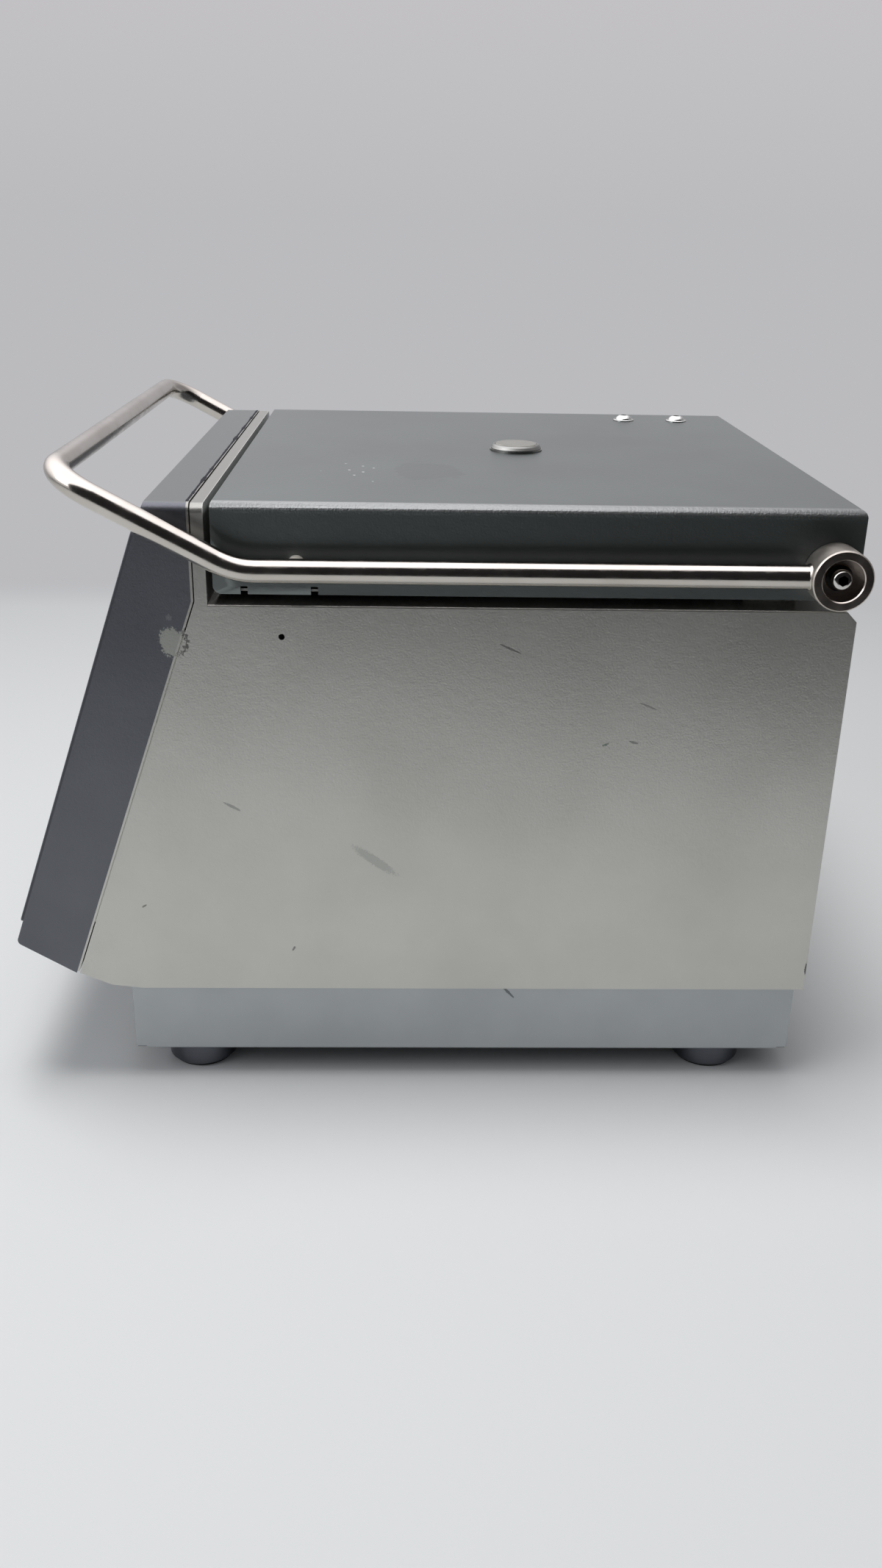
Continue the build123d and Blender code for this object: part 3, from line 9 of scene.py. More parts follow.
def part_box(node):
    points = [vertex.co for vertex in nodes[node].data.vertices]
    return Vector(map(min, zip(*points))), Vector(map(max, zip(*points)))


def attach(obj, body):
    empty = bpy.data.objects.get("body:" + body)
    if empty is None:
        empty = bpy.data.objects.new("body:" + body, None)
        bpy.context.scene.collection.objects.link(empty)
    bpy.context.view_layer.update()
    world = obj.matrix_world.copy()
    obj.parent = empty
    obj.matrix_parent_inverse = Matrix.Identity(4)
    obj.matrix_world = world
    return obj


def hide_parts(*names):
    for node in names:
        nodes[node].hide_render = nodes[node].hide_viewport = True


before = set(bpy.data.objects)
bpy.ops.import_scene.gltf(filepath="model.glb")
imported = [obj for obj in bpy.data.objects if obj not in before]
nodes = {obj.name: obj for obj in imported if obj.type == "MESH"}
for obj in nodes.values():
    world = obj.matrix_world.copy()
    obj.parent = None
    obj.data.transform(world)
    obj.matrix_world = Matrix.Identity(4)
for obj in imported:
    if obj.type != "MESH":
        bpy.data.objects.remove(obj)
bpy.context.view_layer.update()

MM = 0.001

# Places that several pieces share, read from the frame
shell_low, shell_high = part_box("housing_shell")
lid_low, lid_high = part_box("lid_shell")
shaft_low, shaft_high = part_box("hinge_shaft")
bowl_low, bowl_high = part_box("chamber_bowl")
inlet_low, inlet_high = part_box("mains_inlet")
carousel_low, carousel_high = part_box("carousel_plate")
fascia_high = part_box("front_fascia")[1]
plinth_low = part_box("base_plinth")[0]
SIDE = shell_high.x
STRIP_REAR = lid_low.y - 4 * MM
PIVOT_Y = (shaft_low.y + shaft_high.y) / 2
PIVOT_Z = (shaft_low.z + shaft_high.z) / 2
CHAMBER_Y = (bowl_low.y + bowl_high.y) / 2
SLOPE = math.radians(19.45)

# The axes of turned parts: a point, and 1 in the directions across the axis
HINGE = ((0, PIVOT_Y, PIVOT_Z), (0, 1, 1))
ROTOR = ((0, CHAMBER_Y, 0), (1, 1, 0))


def linear(code):
    """A colour written as sRGB hex, in linear light."""
    parts = [int(code[i : i + 2], 16) / 255 for i in (1, 3, 5)]
    return (*[c / 12.92 if c <= 0.04045 else ((c + 0.055) / 1.055) ** 2.4 for c in parts], 1.0)


def add(tree, kind, sockets=None, **settings):
    """Adds a node with its settings. A socket gets a value, or another node's output to link to."""
    node = tree.nodes.new(kind)
    for name, value in settings.items():
        setattr(node, name, value)
    for name, value in (sockets or {}).items():
        if isinstance(value, bpy.types.NodeSocket):
            tree.links.new(value, node.inputs[name])
        else:
            node.inputs[name].default_value = value
    return node


def empty_material(name):
    """A new material and its tree, without nodes."""
    material = bpy.data.materials.new(name)
    material.use_nodes = True
    material.node_tree.nodes.clear()
    return material, material.node_tree


def begin(name, values):
    """A new finish: the material with its tree, its shader and the object's own coordinates."""
    material, tree = empty_material(name)
    shader = add(tree, "ShaderNodeBsdfPrincipled", values)
    add(tree, "ShaderNodeOutputMaterial", {"Surface": shader.outputs["BSDF"]})
    place = add(tree, "ShaderNodeTexCoord").outputs["Object"]
    return material, tree, shader, place


def clouded(tree, place, first, second, size):
    """Two near colours that drift into each other over a size."""
    drift = add(tree, "ShaderNodeTexNoise", {"Vector": place, "Scale": 1 / size, "Detail": 4.0})
    middle = {"Value": drift.outputs["Fac"], "From Min": 0.35, "From Max": 0.65}
    spread = add(tree, "ShaderNodeMapRange", middle).outputs["Result"]
    colours = {0: spread, 6: linear(first), 7: linear(second)}
    return add(tree, "ShaderNodeMix", colours, data_type="RGBA").outputs[2]


def bumps(tree, shader, pattern, depth, strength=1.0):
    """Turns a pattern into relief of the given depth."""
    relief = add(tree, "ShaderNodeBump", {"Height": pattern, "Distance": depth, "Strength": strength})
    tree.links.new(relief.outputs["Normal"], shader.inputs["Normal"])


def sand(tree, place, grain):
    """The sandy skin of a textured powder coat: fine grains on slightly wider swells."""
    fine = add(tree, "ShaderNodeTexNoise", {"Vector": place, "Scale": 1 / grain, "Detail": 1.0})
    wide = add(tree, "ShaderNodeTexNoise", {"Vector": place, "Scale": 0.3 / grain, "Detail": 1.0})
    layers = {0: fine.outputs["Fac"], 1: wide.outputs["Fac"]}
    return add(tree, "ShaderNodeMath", layers, operation="ADD").outputs[0]


def where_both(tree, first, second):
    """A mask that is whole where two ramps are."""
    ends = [add(tree, "ShaderNodeMapRange", ramp).outputs["Result"] for ramp in (first, second)]
    return add(tree, "ShaderNodeMath", {0: ends[0], 1: ends[1]}, operation="MULTIPLY").outputs[0]


def scuff(tree, place, centre, half_size, turn, grain, edge):
    """How much of a mark there is: an ellipse turned about X whose rim the grain breaks up."""
    tilt, softness = (math.radians(turn), 0, 0), 0.08
    settings = {"Vector": place, "Location": centre, "Rotation": tilt, "Scale": half_size}
    local = add(tree, "ShaderNodeMapping", settings, vector_type="TEXTURE").outputs[0]
    ball = add(tree, "ShaderNodeTexGradient", {"Vector": local}, gradient_type="SPHERICAL").outputs["Fac"]
    rough = {"Vector": place, "Scale": 1 / grain, "Detail": 6.0, "Roughness": 0.62}
    broken = add(tree, "ShaderNodeTexNoise", rough).outputs["Fac"]
    total = add(tree, "ShaderNodeMath", {0: ball, 1: broken}, operation="ADD").outputs[0]
    cut = {"Value": total, "From Min": edge, "From Max": edge + softness}
    mark = add(tree, "ShaderNodeMapRange", cut).outputs["Result"]
    # no stray dots outside the ellipse
    inside = add(tree, "ShaderNodeMath", {0: ball, 1: 0.01}, operation="GREATER_THAN").outputs[0]
    return add(tree, "ShaderNodeMath", {0: mark, 1: inside}, operation="MULTIPLY").outputs[0]


def overlaid(tree, colour, mark, tint, strength=1.0):
    """Lays a tint over a colour where the mark is."""
    amount = add(tree, "ShaderNodeMath", {0: mark, 1: strength}, operation="MULTIPLY").outputs[0]
    return add(tree, "ShaderNodeMix", {0: amount, 6: colour, 7: linear(tint)}, data_type="RGBA").outputs[2]


def from_axis(tree, place, axis):
    """Distance from an axis of turned parts."""
    centre, across = axis
    settings = {"Vector": place, "Location": [-c * a for c, a in zip(centre, across)], "Scale": across}
    flat = add(tree, "ShaderNodeMapping", settings)
    return add(tree, "ShaderNodeVectorMath", {0: flat.outputs[0]}, operation="LENGTH").outputs["Value"]


# Marks on the right side panel: place, half size, turn in degrees, grain, edge, tint, strength
SIDE_MARKS = [
    # a long rub of graphite grey
    ((SIDE, -0.031, 0.179), (0.004, 0.034, 0.0065), -35.7, 0.0011, 0.96, "#8b8f8b", 0.40),
    # short dark scratches
    ((SIDE, 0.0556, 0.3293), (0.004, 0.0100, 0.0009), -24, 0.004, 0.72, "#4a4c4b", 0.6),
    ((SIDE, 0.1462, 0.2916), (0.004, 0.0095, 0.0008), -22, 0.004, 0.76, "#6a6c6b", 0.5),
    ((SIDE, -0.1253, 0.2183), (0.004, 0.0100, 0.0016), -29, 0.0012, 0.84, "#6b6e6b", 0.5),
    ((SIDE, 0.1205, 0.2645), (0.004, 0.0035, 0.0012), 20, 0.0015, 0.80, "#4e6a58", 0.6),
    ((SIDE, 0.1388, 0.2662), (0.004, 0.0045, 0.0011), -15, 0.0015, 0.80, "#5d615d", 0.6),
    ((SIDE, -0.1883, 0.1433), (0.004, 0.0030, 0.0009), 35, 0.002, 0.75, "#5a5d5b", 0.7),
    ((SIDE, -0.0872, 0.1102), (0.004, 0.0028, 0.0010), 60, 0.002, 0.75, "#565957", 0.7),
    # paint knocked off the rear lower edge
    ((SIDE, 0.2748, 0.0950), (0.006, 0.0022, 0.0080), 0, 0.0012, 0.78, "#2c2e2f", 0.85),
]


def silver_powder_coat():
    """Silver polyester powder coat with metal flakes: sandy, and lighter where it mirrors the floor."""
    material, tree, shader, place = begin("silver_powder_coat", {"Roughness": 0.35})
    colour = clouded(tree, place, "#c9c8c2", "#c1c0ba", 90 * MM)
    for centre, half_size, turn, grain, edge, tint, strength in SIDE_MARKS:
        mark = scuff(tree, place, centre, half_size, turn, grain, edge)
        colour = overlaid(tree, colour, mark, tint, strength)
    # rim of the knock that goes on over the seam to the fascia
    knock = scuff(tree, place, (SIDE, -0.1535, 0.331), (0.004, 0.0095, 0.0135), -12, 0.0016, 0.86)
    core = scuff(tree, place, (SIDE, -0.1545, 0.331), (0.004, 0.0080, 0.0120), -12, 0.0016, 0.86)
    rim = add(tree, "ShaderNodeMath", {0: knock, 1: core}, operation="SUBTRACT", use_clamp=True).outputs[0]
    colour = overlaid(tree, colour, rim, "#4b4d4a", 0.75)
    # the top of the strip in front of the lid is painted darker: painted shade that tones down its bright
    # reflection
    axes = add(tree, "ShaderNodeSeparateXYZ", {0: place})
    y, z, top = axes.outputs["Y"], axes.outputs["Z"], shell_high.z
    strip = {"Value": z, "From Min": top - 6 * MM, "From Max": top - 1 * MM}
    painted_top_shade = add(tree, "ShaderNodeMapRange", strip).outputs["Result"]
    colour = overlaid(tree, colour, painted_top_shade, "#94948f", 0.85)
    # its rear edge, in the gap to the lid, is painted paler and without flakes: painted light for the light
    # that a rounded bend would catch from above
    behind = {"Value": y, "From Min": STRIP_REAR - 0.4 * MM, "From Max": STRIP_REAR - 0.2 * MM}
    upper = {"Value": z, "From Min": top - 8 * MM, "From Max": top - 4 * MM}
    edge = where_both(tree, behind, upper)
    colour = overlaid(tree, colour, edge, "#dcdcd8")
    flakes = add(tree, "ShaderNodeMapRange", {"Value": edge, "To Min": 0.85, "To Max": 0.0})
    tree.links.new(flakes.outputs["Result"], shader.inputs["Metallic"])
    tree.links.new(colour, shader.inputs["Base Color"])
    bumps(tree, shader, sand(tree, place, 1.2 * MM), 0.065 * MM)
    return material


def plinth_powder_coat():
    """The same coat on the plinth, a shade bluer, with one streak on its side and a near-black underside that
    is painted shade.
    """
    material, tree, shader, place = begin("plinth_powder_coat", {"Metallic": 0.8, "Roughness": 0.40})
    colour = clouded(tree, place, "#b4b8ba", "#acb0b2", 80 * MM)
    streak = scuff(tree, place, (0.202, 0.064, 0.0705), (0.004, 0.010, 0.0014), -48, 0.003, 0.72)
    colour = overlaid(tree, colour, streak, "#44484a", 0.7)
    # the floor sheet is painted near black: painted shade that darkens the floor under the plinth
    axes = add(tree, "ShaderNodeSeparateXYZ", {0: place})
    floor = plinth_low.z
    low = {"Value": axes.outputs["Z"], "From Min": floor + 0.4 * MM, "From Max": floor + 0.2 * MM}
    painted_under_shade = add(tree, "ShaderNodeMapRange", low).outputs["Result"]
    colour = overlaid(tree, colour, painted_under_shade, "#26282c")
    tree.links.new(colour, shader.inputs["Base Color"])
    bumps(tree, shader, sand(tree, place, 1.1 * MM), 0.05 * MM)
    return material


def anthracite_powder_coat():
    """Anthracite powder coat of the lid: a dark sheen, coarse sand on the bends, a painted highlight along
    the side bends and a few white specks.
    """
    material, tree, shader, place = begin("anthracite_powder_coat", {"Metallic": 0.92})
    colour = clouded(tree, place, "#767c7b", "#707574", 120 * MM)
    top = lid_high.z
    # dried splashes on the top, towards the front
    cells = add(tree, "ShaderNodeTexVoronoi", {"Vector": place, "Scale": 1 / (9 * MM)})
    dot = {"Value": cells.outputs["Distance"], "From Min": 0.12, "From Max": 0.09}
    dots = add(tree, "ShaderNodeMapRange", dot).outputs["Result"]
    where = scuff(tree, place, (0.112, -0.047, top), (0.060, 0.036, 0.004), 0, 0.012, 0.78)
    specks = add(tree, "ShaderNodeMath", {0: dots, 1: where}, operation="MULTIPLY").outputs[0]
    colour = overlaid(tree, colour, specks, "#f0f2f2", 0.9)
    # a dull patch where hands have rested
    dull = scuff(tree, place, (0.095, 0.004, top), (0.045, 0.030, 0.004), 0, 0.02, 0.7)
    colour = overlaid(tree, colour, dull, "#565a5a", 0.25)
    # the side bends are painted lighter: a painted highlight along them
    axes = add(tree, "ShaderNodeSeparateXYZ", {0: place})
    across = add(tree, "ShaderNodeMath", {0: axes.outputs["X"]}, operation="ABSOLUTE").outputs[0]
    height = axes.outputs["Z"]
    highlight_across = {"Value": across, "From Min": lid_high.x - 5.5 * MM, "From Max": lid_high.x - 4.0 * MM}
    upper = {"Value": height, "From Min": top - 5.0 * MM, "From Max": top - 3.5 * MM}
    colour = overlaid(tree, colour, where_both(tree, highlight_across, upper), "#999b9a", 0.9)
    tree.links.new(colour, shader.inputs["Base Color"])
    # the coat is thick and rough over the bends of the top
    above = {"Value": height, "From Min": top - 7 * MM, "From Max": top - 5 * MM}
    below = {"Value": height, "From Min": top - 0.1 * MM, "From Max": top - 0.5 * MM}
    bend = where_both(tree, above, below)
    gloss = add(tree, "ShaderNodeMapRange", {"Value": bend, "To Min": 0.39, "To Max": 0.50})
    tree.links.new(gloss.outputs["Result"], shader.inputs["Roughness"])
    strength = add(tree, "ShaderNodeMapRange", {"Value": bend, "To Min": 0.25}).outputs["Result"]
    bumps(tree, shader, sand(tree, place, 1.2 * MM), 0.26 * MM, strength)
    return material


def fascia_enamel():
    """Dark blue grey two-pack enamel sprayed on a moulding: satin, with one knock down to the primer."""
    material, tree, shader, place = begin("fascia_enamel", {"Metallic": 0.8, "Roughness": 0.43})
    colour = clouded(tree, place, "#6e7076", "#66686e", 100 * MM)
    knock = scuff(tree, place, (SIDE, -0.1570, 0.331), (0.004, 0.0125, 0.0150), 30, 0.0022, 0.80)
    colour = overlaid(tree, colour, knock, "#b3b4ad", 0.95)
    chips = scuff(tree, place, (SIDE, -0.1590, 0.3475), (0.004, 0.0050, 0.0050), 0, 0.0012, 1.08)
    colour = overlaid(tree, colour, chips, "#a5a6a8", 0.3)
    # its top has faded to a plainer grey
    axes = add(tree, "ShaderNodeSeparateXYZ", {0: place})
    top = fascia_high.z
    lit = {"Value": axes.outputs["Z"], "From Min": top - 0.8 * MM, "From Max": top - 0.1 * MM}
    faded = add(tree, "ShaderNodeMapRange", lit).outputs["Result"]
    colour = overlaid(tree, colour, faded, "#6e7272")
    tree.links.new(colour, shader.inputs["Base Color"])
    bumps(tree, shader, sand(tree, place, 1.1 * MM), 0.07 * MM)
    return material


def panel_film():
    """Matt polyester film on the panel plate: dark, with a lighter field and a fine line round the keys."""
    half_width, half_height, middle_height = 128 * MM, 68 * MM, 31 * MM
    line_inset, line_width, blur = 2.2 * MM, 0.8 * MM, 0.1 * MM
    material, tree, shader, place = begin("panel_film", {"Roughness": 0.48})
    # coordinates on the sloping plate: X across and Z up the slope, from its middle
    (_, front_y, low_z), (_, _, high_z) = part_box("front_panel")
    middle = Vector((0, front_y + (high_z - low_z) / 2 * math.tan(SLOPE), (low_z + high_z) / 2))
    turn = {"Vector": place, "Location": middle, "Rotation": (-SLOPE, 0, 0)}
    local = add(tree, "ShaderNodeMapping", turn, vector_type="TEXTURE")
    axes = add(tree, "ShaderNodeSeparateXYZ", {0: local.outputs[0]})
    # how far a point lies outside the field's edge
    up = {0: axes.outputs["Z"], 1: middle_height}
    rise = add(tree, "ShaderNodeMath", up, operation="SUBTRACT").outputs[0]
    across = add(tree, "ShaderNodeMath", {0: axes.outputs["X"]}, operation="ABSOLUTE").outputs[0]
    along = add(tree, "ShaderNodeMath", {0: rise}, operation="ABSOLUTE").outputs[0]
    past_x = add(tree, "ShaderNodeMath", {0: across, 1: half_width}, operation="SUBTRACT").outputs[0]
    past_z = add(tree, "ShaderNodeMath", {0: along, 1: half_height}, operation="SUBTRACT").outputs[0]
    outside = add(tree, "ShaderNodeMath", {0: past_x, 1: past_z}, operation="MAXIMUM").outputs[0]
    field = {"Value": outside, "From Min": blur, "From Max": -blur}
    inside = add(tree, "ShaderNodeMapRange", field).outputs["Result"]
    ground = clouded(tree, place, "#54565c", "#4f5157", 100 * MM)
    colour = overlaid(tree, ground, inside, "#a9adb0")
    # the line lies between two insets from that edge
    deep = line_inset + line_width
    past_outer = {"Value": outside, "From Min": blur - line_inset, "From Max": -blur - line_inset}
    short_of_inner = {"Value": outside, "From Min": -blur - deep, "From Max": blur - deep}
    colour = overlaid(tree, colour, where_both(tree, past_outer, short_of_inner), "#2f4a63")
    tree.links.new(colour, shader.inputs["Base Color"])
    bumps(tree, shader, sand(tree, place, 0.8 * MM), 0.02 * MM)
    return material


def polished_stainless():
    """Mirror polished stainless of the bail, its bosses bead blasted outside and bright at the mouth."""
    material, tree, shader, place = begin("polished_stainless", {"Metallic": 1.0})
    tint = clouded(tree, place, "#c9c4bd", "#beb8b0", 50 * MM)
    radius = from_axis(tree, place, HINGE)
    blasted = {"Value": radius, "From Min": 19.6 * MM, "From Max": 19.2 * MM}
    boss = add(tree, "ShaderNodeMapRange", blasted).outputs["Result"]
    tint = overlaid(tree, tint, boss, "#cbc5bc")
    faced = {"Value": radius, "From Min": 18.4 * MM, "From Max": 18.3 * MM}
    mouth = add(tree, "ShaderNodeMapRange", faced).outputs["Result"]
    tint = overlaid(tree, tint, mouth, "#c4bbb3")
    tree.links.new(tint, shader.inputs["Base Color"])
    matt = add(tree, "ShaderNodeMapRange", {"Value": boss, "To Min": 0.19, "To Max": 0.46})
    shine = add(tree, "ShaderNodeMapRange", {"Value": mouth, "To Min": 0.0, "To Max": -0.24})
    layers = {0: matt.outputs["Result"], 1: shine.outputs["Result"]}
    finish = add(tree, "ShaderNodeMath", layers, operation="ADD").outputs[0]
    # smears of a wiping cloth
    wiped = add(tree, "ShaderNodeTexNoise", {"Vector": place, "Scale": 1 / (11.1 * MM), "Detail": 5.0})
    smears = {"Value": wiped.outputs["Fac"], "From Min": 0.35, "From Max": 0.75}
    haze = add(tree, "ShaderNodeMapRange", {**smears, "To Min": -0.03, "To Max": 0.08}).outputs["Result"]
    total = add(tree, "ShaderNodeMath", {0: finish, 1: haze}, operation="ADD").outputs[0]
    tree.links.new(total, shader.inputs["Roughness"])
    dents = add(tree, "ShaderNodeTexNoise", {"Vector": place, "Scale": 1 / (9 * MM), "Detail": 2.0})
    bumps(tree, shader, dents.outputs["Fac"], 0.015 * MM)
    return material


def turned_metal(name, colours, axis, groove, roughness):
    """Metal turned or spun on a lathe: fine rings round the axis that catch the light in a fan."""
    material, tree, shader, place = begin(name, {"Metallic": 1.0, "Roughness": roughness})
    radius = from_axis(tree, place, axis)
    fine = {"W": radius, "Scale": 1 / groove, "Detail": 3.0}
    rings = add(tree, "ShaderNodeTexNoise", fine, noise_dimensions="1D").outputs["Fac"]
    tone = {0: rings, 6: linear(colours[0]), 7: linear(colours[1])}
    tree.links.new(add(tree, "ShaderNodeMix", tone, data_type="RGBA").outputs[2], shader.inputs["Base Color"])
    bumps(tree, shader, rings, 0.03 * MM)
    return material


def rolled_metal(name, colours, grain, stretch, roughness, depth=0.02 * MM):
    """Rolled, drawn, brushed or cast metal: grains or streaks, stretched along the way it was worked."""
    material, tree, shader, place = begin(name, {"Metallic": 1.0})
    scale = [1 / grain / s for s in stretch]
    pulled = add(tree, "ShaderNodeMapping", {"Vector": place, "Scale": scale})
    streaks = add(tree, "ShaderNodeTexNoise", {"Vector": pulled.outputs[0], "Scale": 1.0, "Detail": 4.0})
    tone = {0: streaks.outputs["Fac"], 6: linear(colours[0]), 7: linear(colours[1])}
    tree.links.new(add(tree, "ShaderNodeMix", tone, data_type="RGBA").outputs[2], shader.inputs["Base Color"])
    rough = {"Value": streaks.outputs["Fac"], "To Min": roughness - 0.07, "To Max": roughness + 0.07}
    tree.links.new(add(tree, "ShaderNodeMapRange", rough).outputs["Result"], shader.inputs["Roughness"])
    bumps(tree, shader, streaks.outputs["Fac"], depth)
    return material


def grained(name, colours, roughness, grain, depth, more=None):
    """An even colour with a fine grain, as a mould, a brush, a spray or a blast of beads leaves it."""
    material, tree, shader, place = begin(name, {"Roughness": roughness, **(more or {})})
    tree.links.new(clouded(tree, place, *colours, 30 * MM), shader.inputs["Base Color"])
    grit = add(tree, "ShaderNodeTexNoise", {"Vector": place, "Scale": 1 / grain, "Detail": 2.0})
    bumps(tree, shader, grit.outputs["Fac"], depth)
    return material


def clear_acrylic():
    """Cast acrylic gone slightly milky: pale beige over the dark bore, with a soft gloss."""
    values = {"Roughness": 0.16, "IOR": 1.49, "Transmission Weight": 0.35}
    material, tree, shader, place = begin("clear_acrylic", values)
    colour = clouded(tree, place, "#a9a69b", "#9d9a8f", 12 * MM)
    tree.links.new(colour, shader.inputs["Base Color"])
    wear = add(tree, "ShaderNodeTexNoise", {"Vector": place, "Scale": 1 / (3 * MM), "Detail": 4.0})
    bumps(tree, shader, wear.outputs["Fac"], 0.03 * MM)
    return material


# Paints and film
coat = silver_powder_coat()
plinth_coat = plinth_powder_coat()
lid_coat = anthracite_powder_coat()
enamel = fascia_enamel()
film = panel_film()
polished = polished_stainless()
acrylic = clear_acrylic()
# Spun stainless bowl and turned parts
spun_bowl = turned_metal("spun_stainless", ("#a9a8a5", "#c4c3c0"), ROTOR, 1.1 * MM, 0.30)
turned_rotor = turned_metal("anodised_aluminium", ("#b4b7ba", "#c8cacc"), ROTOR, 0.9 * MM, 0.36)
turned_steel = turned_metal("turned_steel", ("#8f8d8a", "#a7a5a1"), HINGE, 0.8 * MM, 0.30)
bright_steel = turned_metal("polished_steel_head", ("#c9c7c3", "#d6d4d0"), HINGE, 1.2 * MM, 0.14)
# Rolled, drawn, brushed, plated and cast metal: two tones, grain, stretch, roughness
ring_steel = rolled_metal("rolled_steel", ("#7d7c79", "#95938f"), 2.2 * MM, (14, 1, 1), 0.42)
bracket_steel = rolled_metal("zinc_plated_steel", ("#a5a8a6", "#bcbebb"), 2.5 * MM, (1, 6, 1), 0.36)
drawn_steel = rolled_metal("drawn_stainless", ("#a8a6a2", "#bfbdb8"), 0.7 * MM, (1, 1, 22), 0.28)
liner_steel = rolled_metal("brushed_stainless", ("#9d9c99", "#b5b4b0"), 0.8 * MM, (30, 1, 1), 0.32)
plated_head = rolled_metal("bright_zinc", ("#cfd0cd", "#dcdcd9"), 4.0 * MM, (1, 1, 1), 0.17)
ring_alloy = rolled_metal("satin_alloy", ("#8f908d", "#9c9d99"), 0.5 * MM, (1, 1, 1), 0.36)
# the feet's aluminium gets a dark colour: painted shade of the plinth over them
shaded_foot_metal = rolled_metal("satin_aluminium", ("#5c5e64", "#696b71"), 0.8 * MM, (25, 25, 1), 0.34)
bronze = rolled_metal("sintered_bronze", ("#8d6c3f", "#a17c4a"), 0.6 * MM, (1, 1, 1), 0.45)
blackened = rolled_metal("blackened_steel", ("#2b2a29", "#3a3836"), 1.5 * MM, (1, 1, 1), 0.38)
cast_zinc = rolled_metal("die_cast_zinc", ("#565859", "#646667"), 1.8 * MM, (1, 1, 1), 0.5, 0.06 * MM)
blasted_steel = grained("blasted_steel", ("#b9b5ac", "#c4c0b7"), 0.6, 0.8 * MM, 0.02 * MM, {"Metallic": 0.45})
# Plastics, rubbers, lacquers and inks: two tones, roughness, grain, depth
black_nylon = grained("black_nylon", ("#1d1d1f", "#232325"), 0.46, 0.6 * MM, 0.03 * MM)
black_gloss = grained("black_gloss_nylon", ("#151517", "#1a1a1c"), 0.18, 1.0 * MM, 0.004 * MM)
black_rubber = grained("black_rubber", ("#171717", "#202020"), 0.72, 0.9 * MM, 0.05 * MM)
grey_silicone = grained("grey_silicone", ("#6f7072", "#7b7c7e"), 0.55, 1.2 * MM, 0.03 * MM)
motor_enamel = grained("black_motor_enamel", ("#1c1d1f", "#26272a"), 0.40, 1.4 * MM, 0.05 * MM)
board_green = grained("solder_mask", ("#1d4a31", "#245a3b"), 0.35, 2.5 * MM, 0.02 * MM)
window_acrylic = grained(
    "tinted_acrylic", ("#0c1114", "#10171b"), 0.07, 8.0 * MM, 0.002 * MM, {"Coat Weight": 0.5}
)
key_grey = grained("grey_keycap", ("#5b6066", "#63686e"), 0.50, 0.7 * MM, 0.02 * MM)
key_blue = grained("blue_keycap", ("#28527f", "#2f5c8c"), 0.50, 0.7 * MM, 0.02 * MM)
key_red = grained("red_keycap", ("#a52a25", "#b0322c"), 0.50, 0.7 * MM, 0.02 * MM)
key_green = grained("green_keycap", ("#2f7a4a", "#378653"), 0.50, 0.7 * MM, 0.02 * MM)
white_ink = grained("white_ink", ("#dfe1e0", "#e6e7e6"), 0.55, 1.0 * MM, 0.004 * MM)
engraver_black = grained("engraving_black", ("#1b1c1d", "#222324"), 0.60, 0.8 * MM, 0.01 * MM)
old_sealant = grained(
    "old_sealant", ("#101118", "#1b1c24"), 0.75, 2.0 * MM, 0.15 * MM, {"Specular IOR Level": 0.2}
)

HOLDERS = sorted(name for name in nodes if name.startswith("tube_holder"))
FINISHES = {
    coat: ["housing_shell", "rear_panel", "front_bulkhead"],
    plinth_coat: ["base_plinth"],
    enamel: ["front_fascia"],
    film: ["front_panel"],
    polished: ["bail_handle"],
    acrylic: ["sight_glass"],
    spun_bowl: ["chamber_bowl"],
    turned_rotor: ["carousel_plate", "rotor_nut"],
    turned_steel: ["hinge_shaft"],
    blasted_steel: ["bail_spacers"],
    ring_steel: ["guard_ring", "motor_plate"],
    bracket_steel: ["hinge_brackets", "latch_frame", "liner_posts"],
    drawn_steel: HOLDERS + ["rotor_spindle", "latch_bolt", "lid_striker"],
    liner_steel: ["lid_liner"],
    plated_head: ["arm_screws"],
    ring_alloy: ["sight_ring"],
    shaded_foot_metal: ["feet"],
    bronze: ["bail_bushes"],
    blackened: ["pivot_washers"],
    cast_zinc: ["friction_arm"],
    black_nylon: ["mains_inlet", "fuse_drawer", "latch_solenoid"],
    black_gloss: ["power_rocker"],
    black_rubber: ["foot_pads", "motor_mounts"],
    grey_silicone: ["lid_seal"],
    motor_enamel: ["drive_motor"],
    board_green: ["control_board"],
    window_acrylic: ["display_window"],
    key_grey: ["key_up", "key_down"],
    key_blue: ["key_lid"],
    key_red: ["key_stop"],
    key_green: ["key_start"],
}
for finish, names in FINISHES.items():
    for name in names:
        for slot in nodes[name].material_slots:
            slot.material = finish


def linked(name, bm, material):
    """Puts a bmesh into the scene as an object of one material."""
    mesh = bpy.data.meshes.new(name)
    bm.to_mesh(mesh)
    bm.free()
    mesh.materials.append(material)
    made = bpy.data.objects.new(name, mesh)
    bpy.context.scene.collection.objects.link(made)
    return made


def piece(name, bm, finish, body, outward=True):
    """Makes a bmesh a named piece that rides on a body, smooth but for its sharp edges."""
    bmesh.ops.remove_doubles(bm, verts=bm.verts, dist=1e-6)
    if outward:
        bmesh.ops.recalc_face_normals(bm, faces=bm.faces)
    made = linked(name, bm, finish)
    for face in made.data.polygons:
        face.use_smooth = True
    made.data.set_sharp_from_angle(angle=math.radians(38))
    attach(made, body)
    return made


def turned(profile, steps=28):
    """A shape of revolution about Z from (radius, height) points."""
    bm = bmesh.new()
    points = [bm.verts.new((radius, 0, height)) for radius, height in profile]
    edges = [bm.edges.new(pair) for pair in zip(points, points[1:])]
    full = {"cent": (0, 0, 0), "axis": (0, 0, 1), "angle": math.tau, "steps": steps, "use_merge": True}
    bmesh.ops.spin(bm, geom=points + edges, **full)
    bmesh.ops.remove_doubles(bm, verts=bm.verts, dist=1e-6)
    return bm


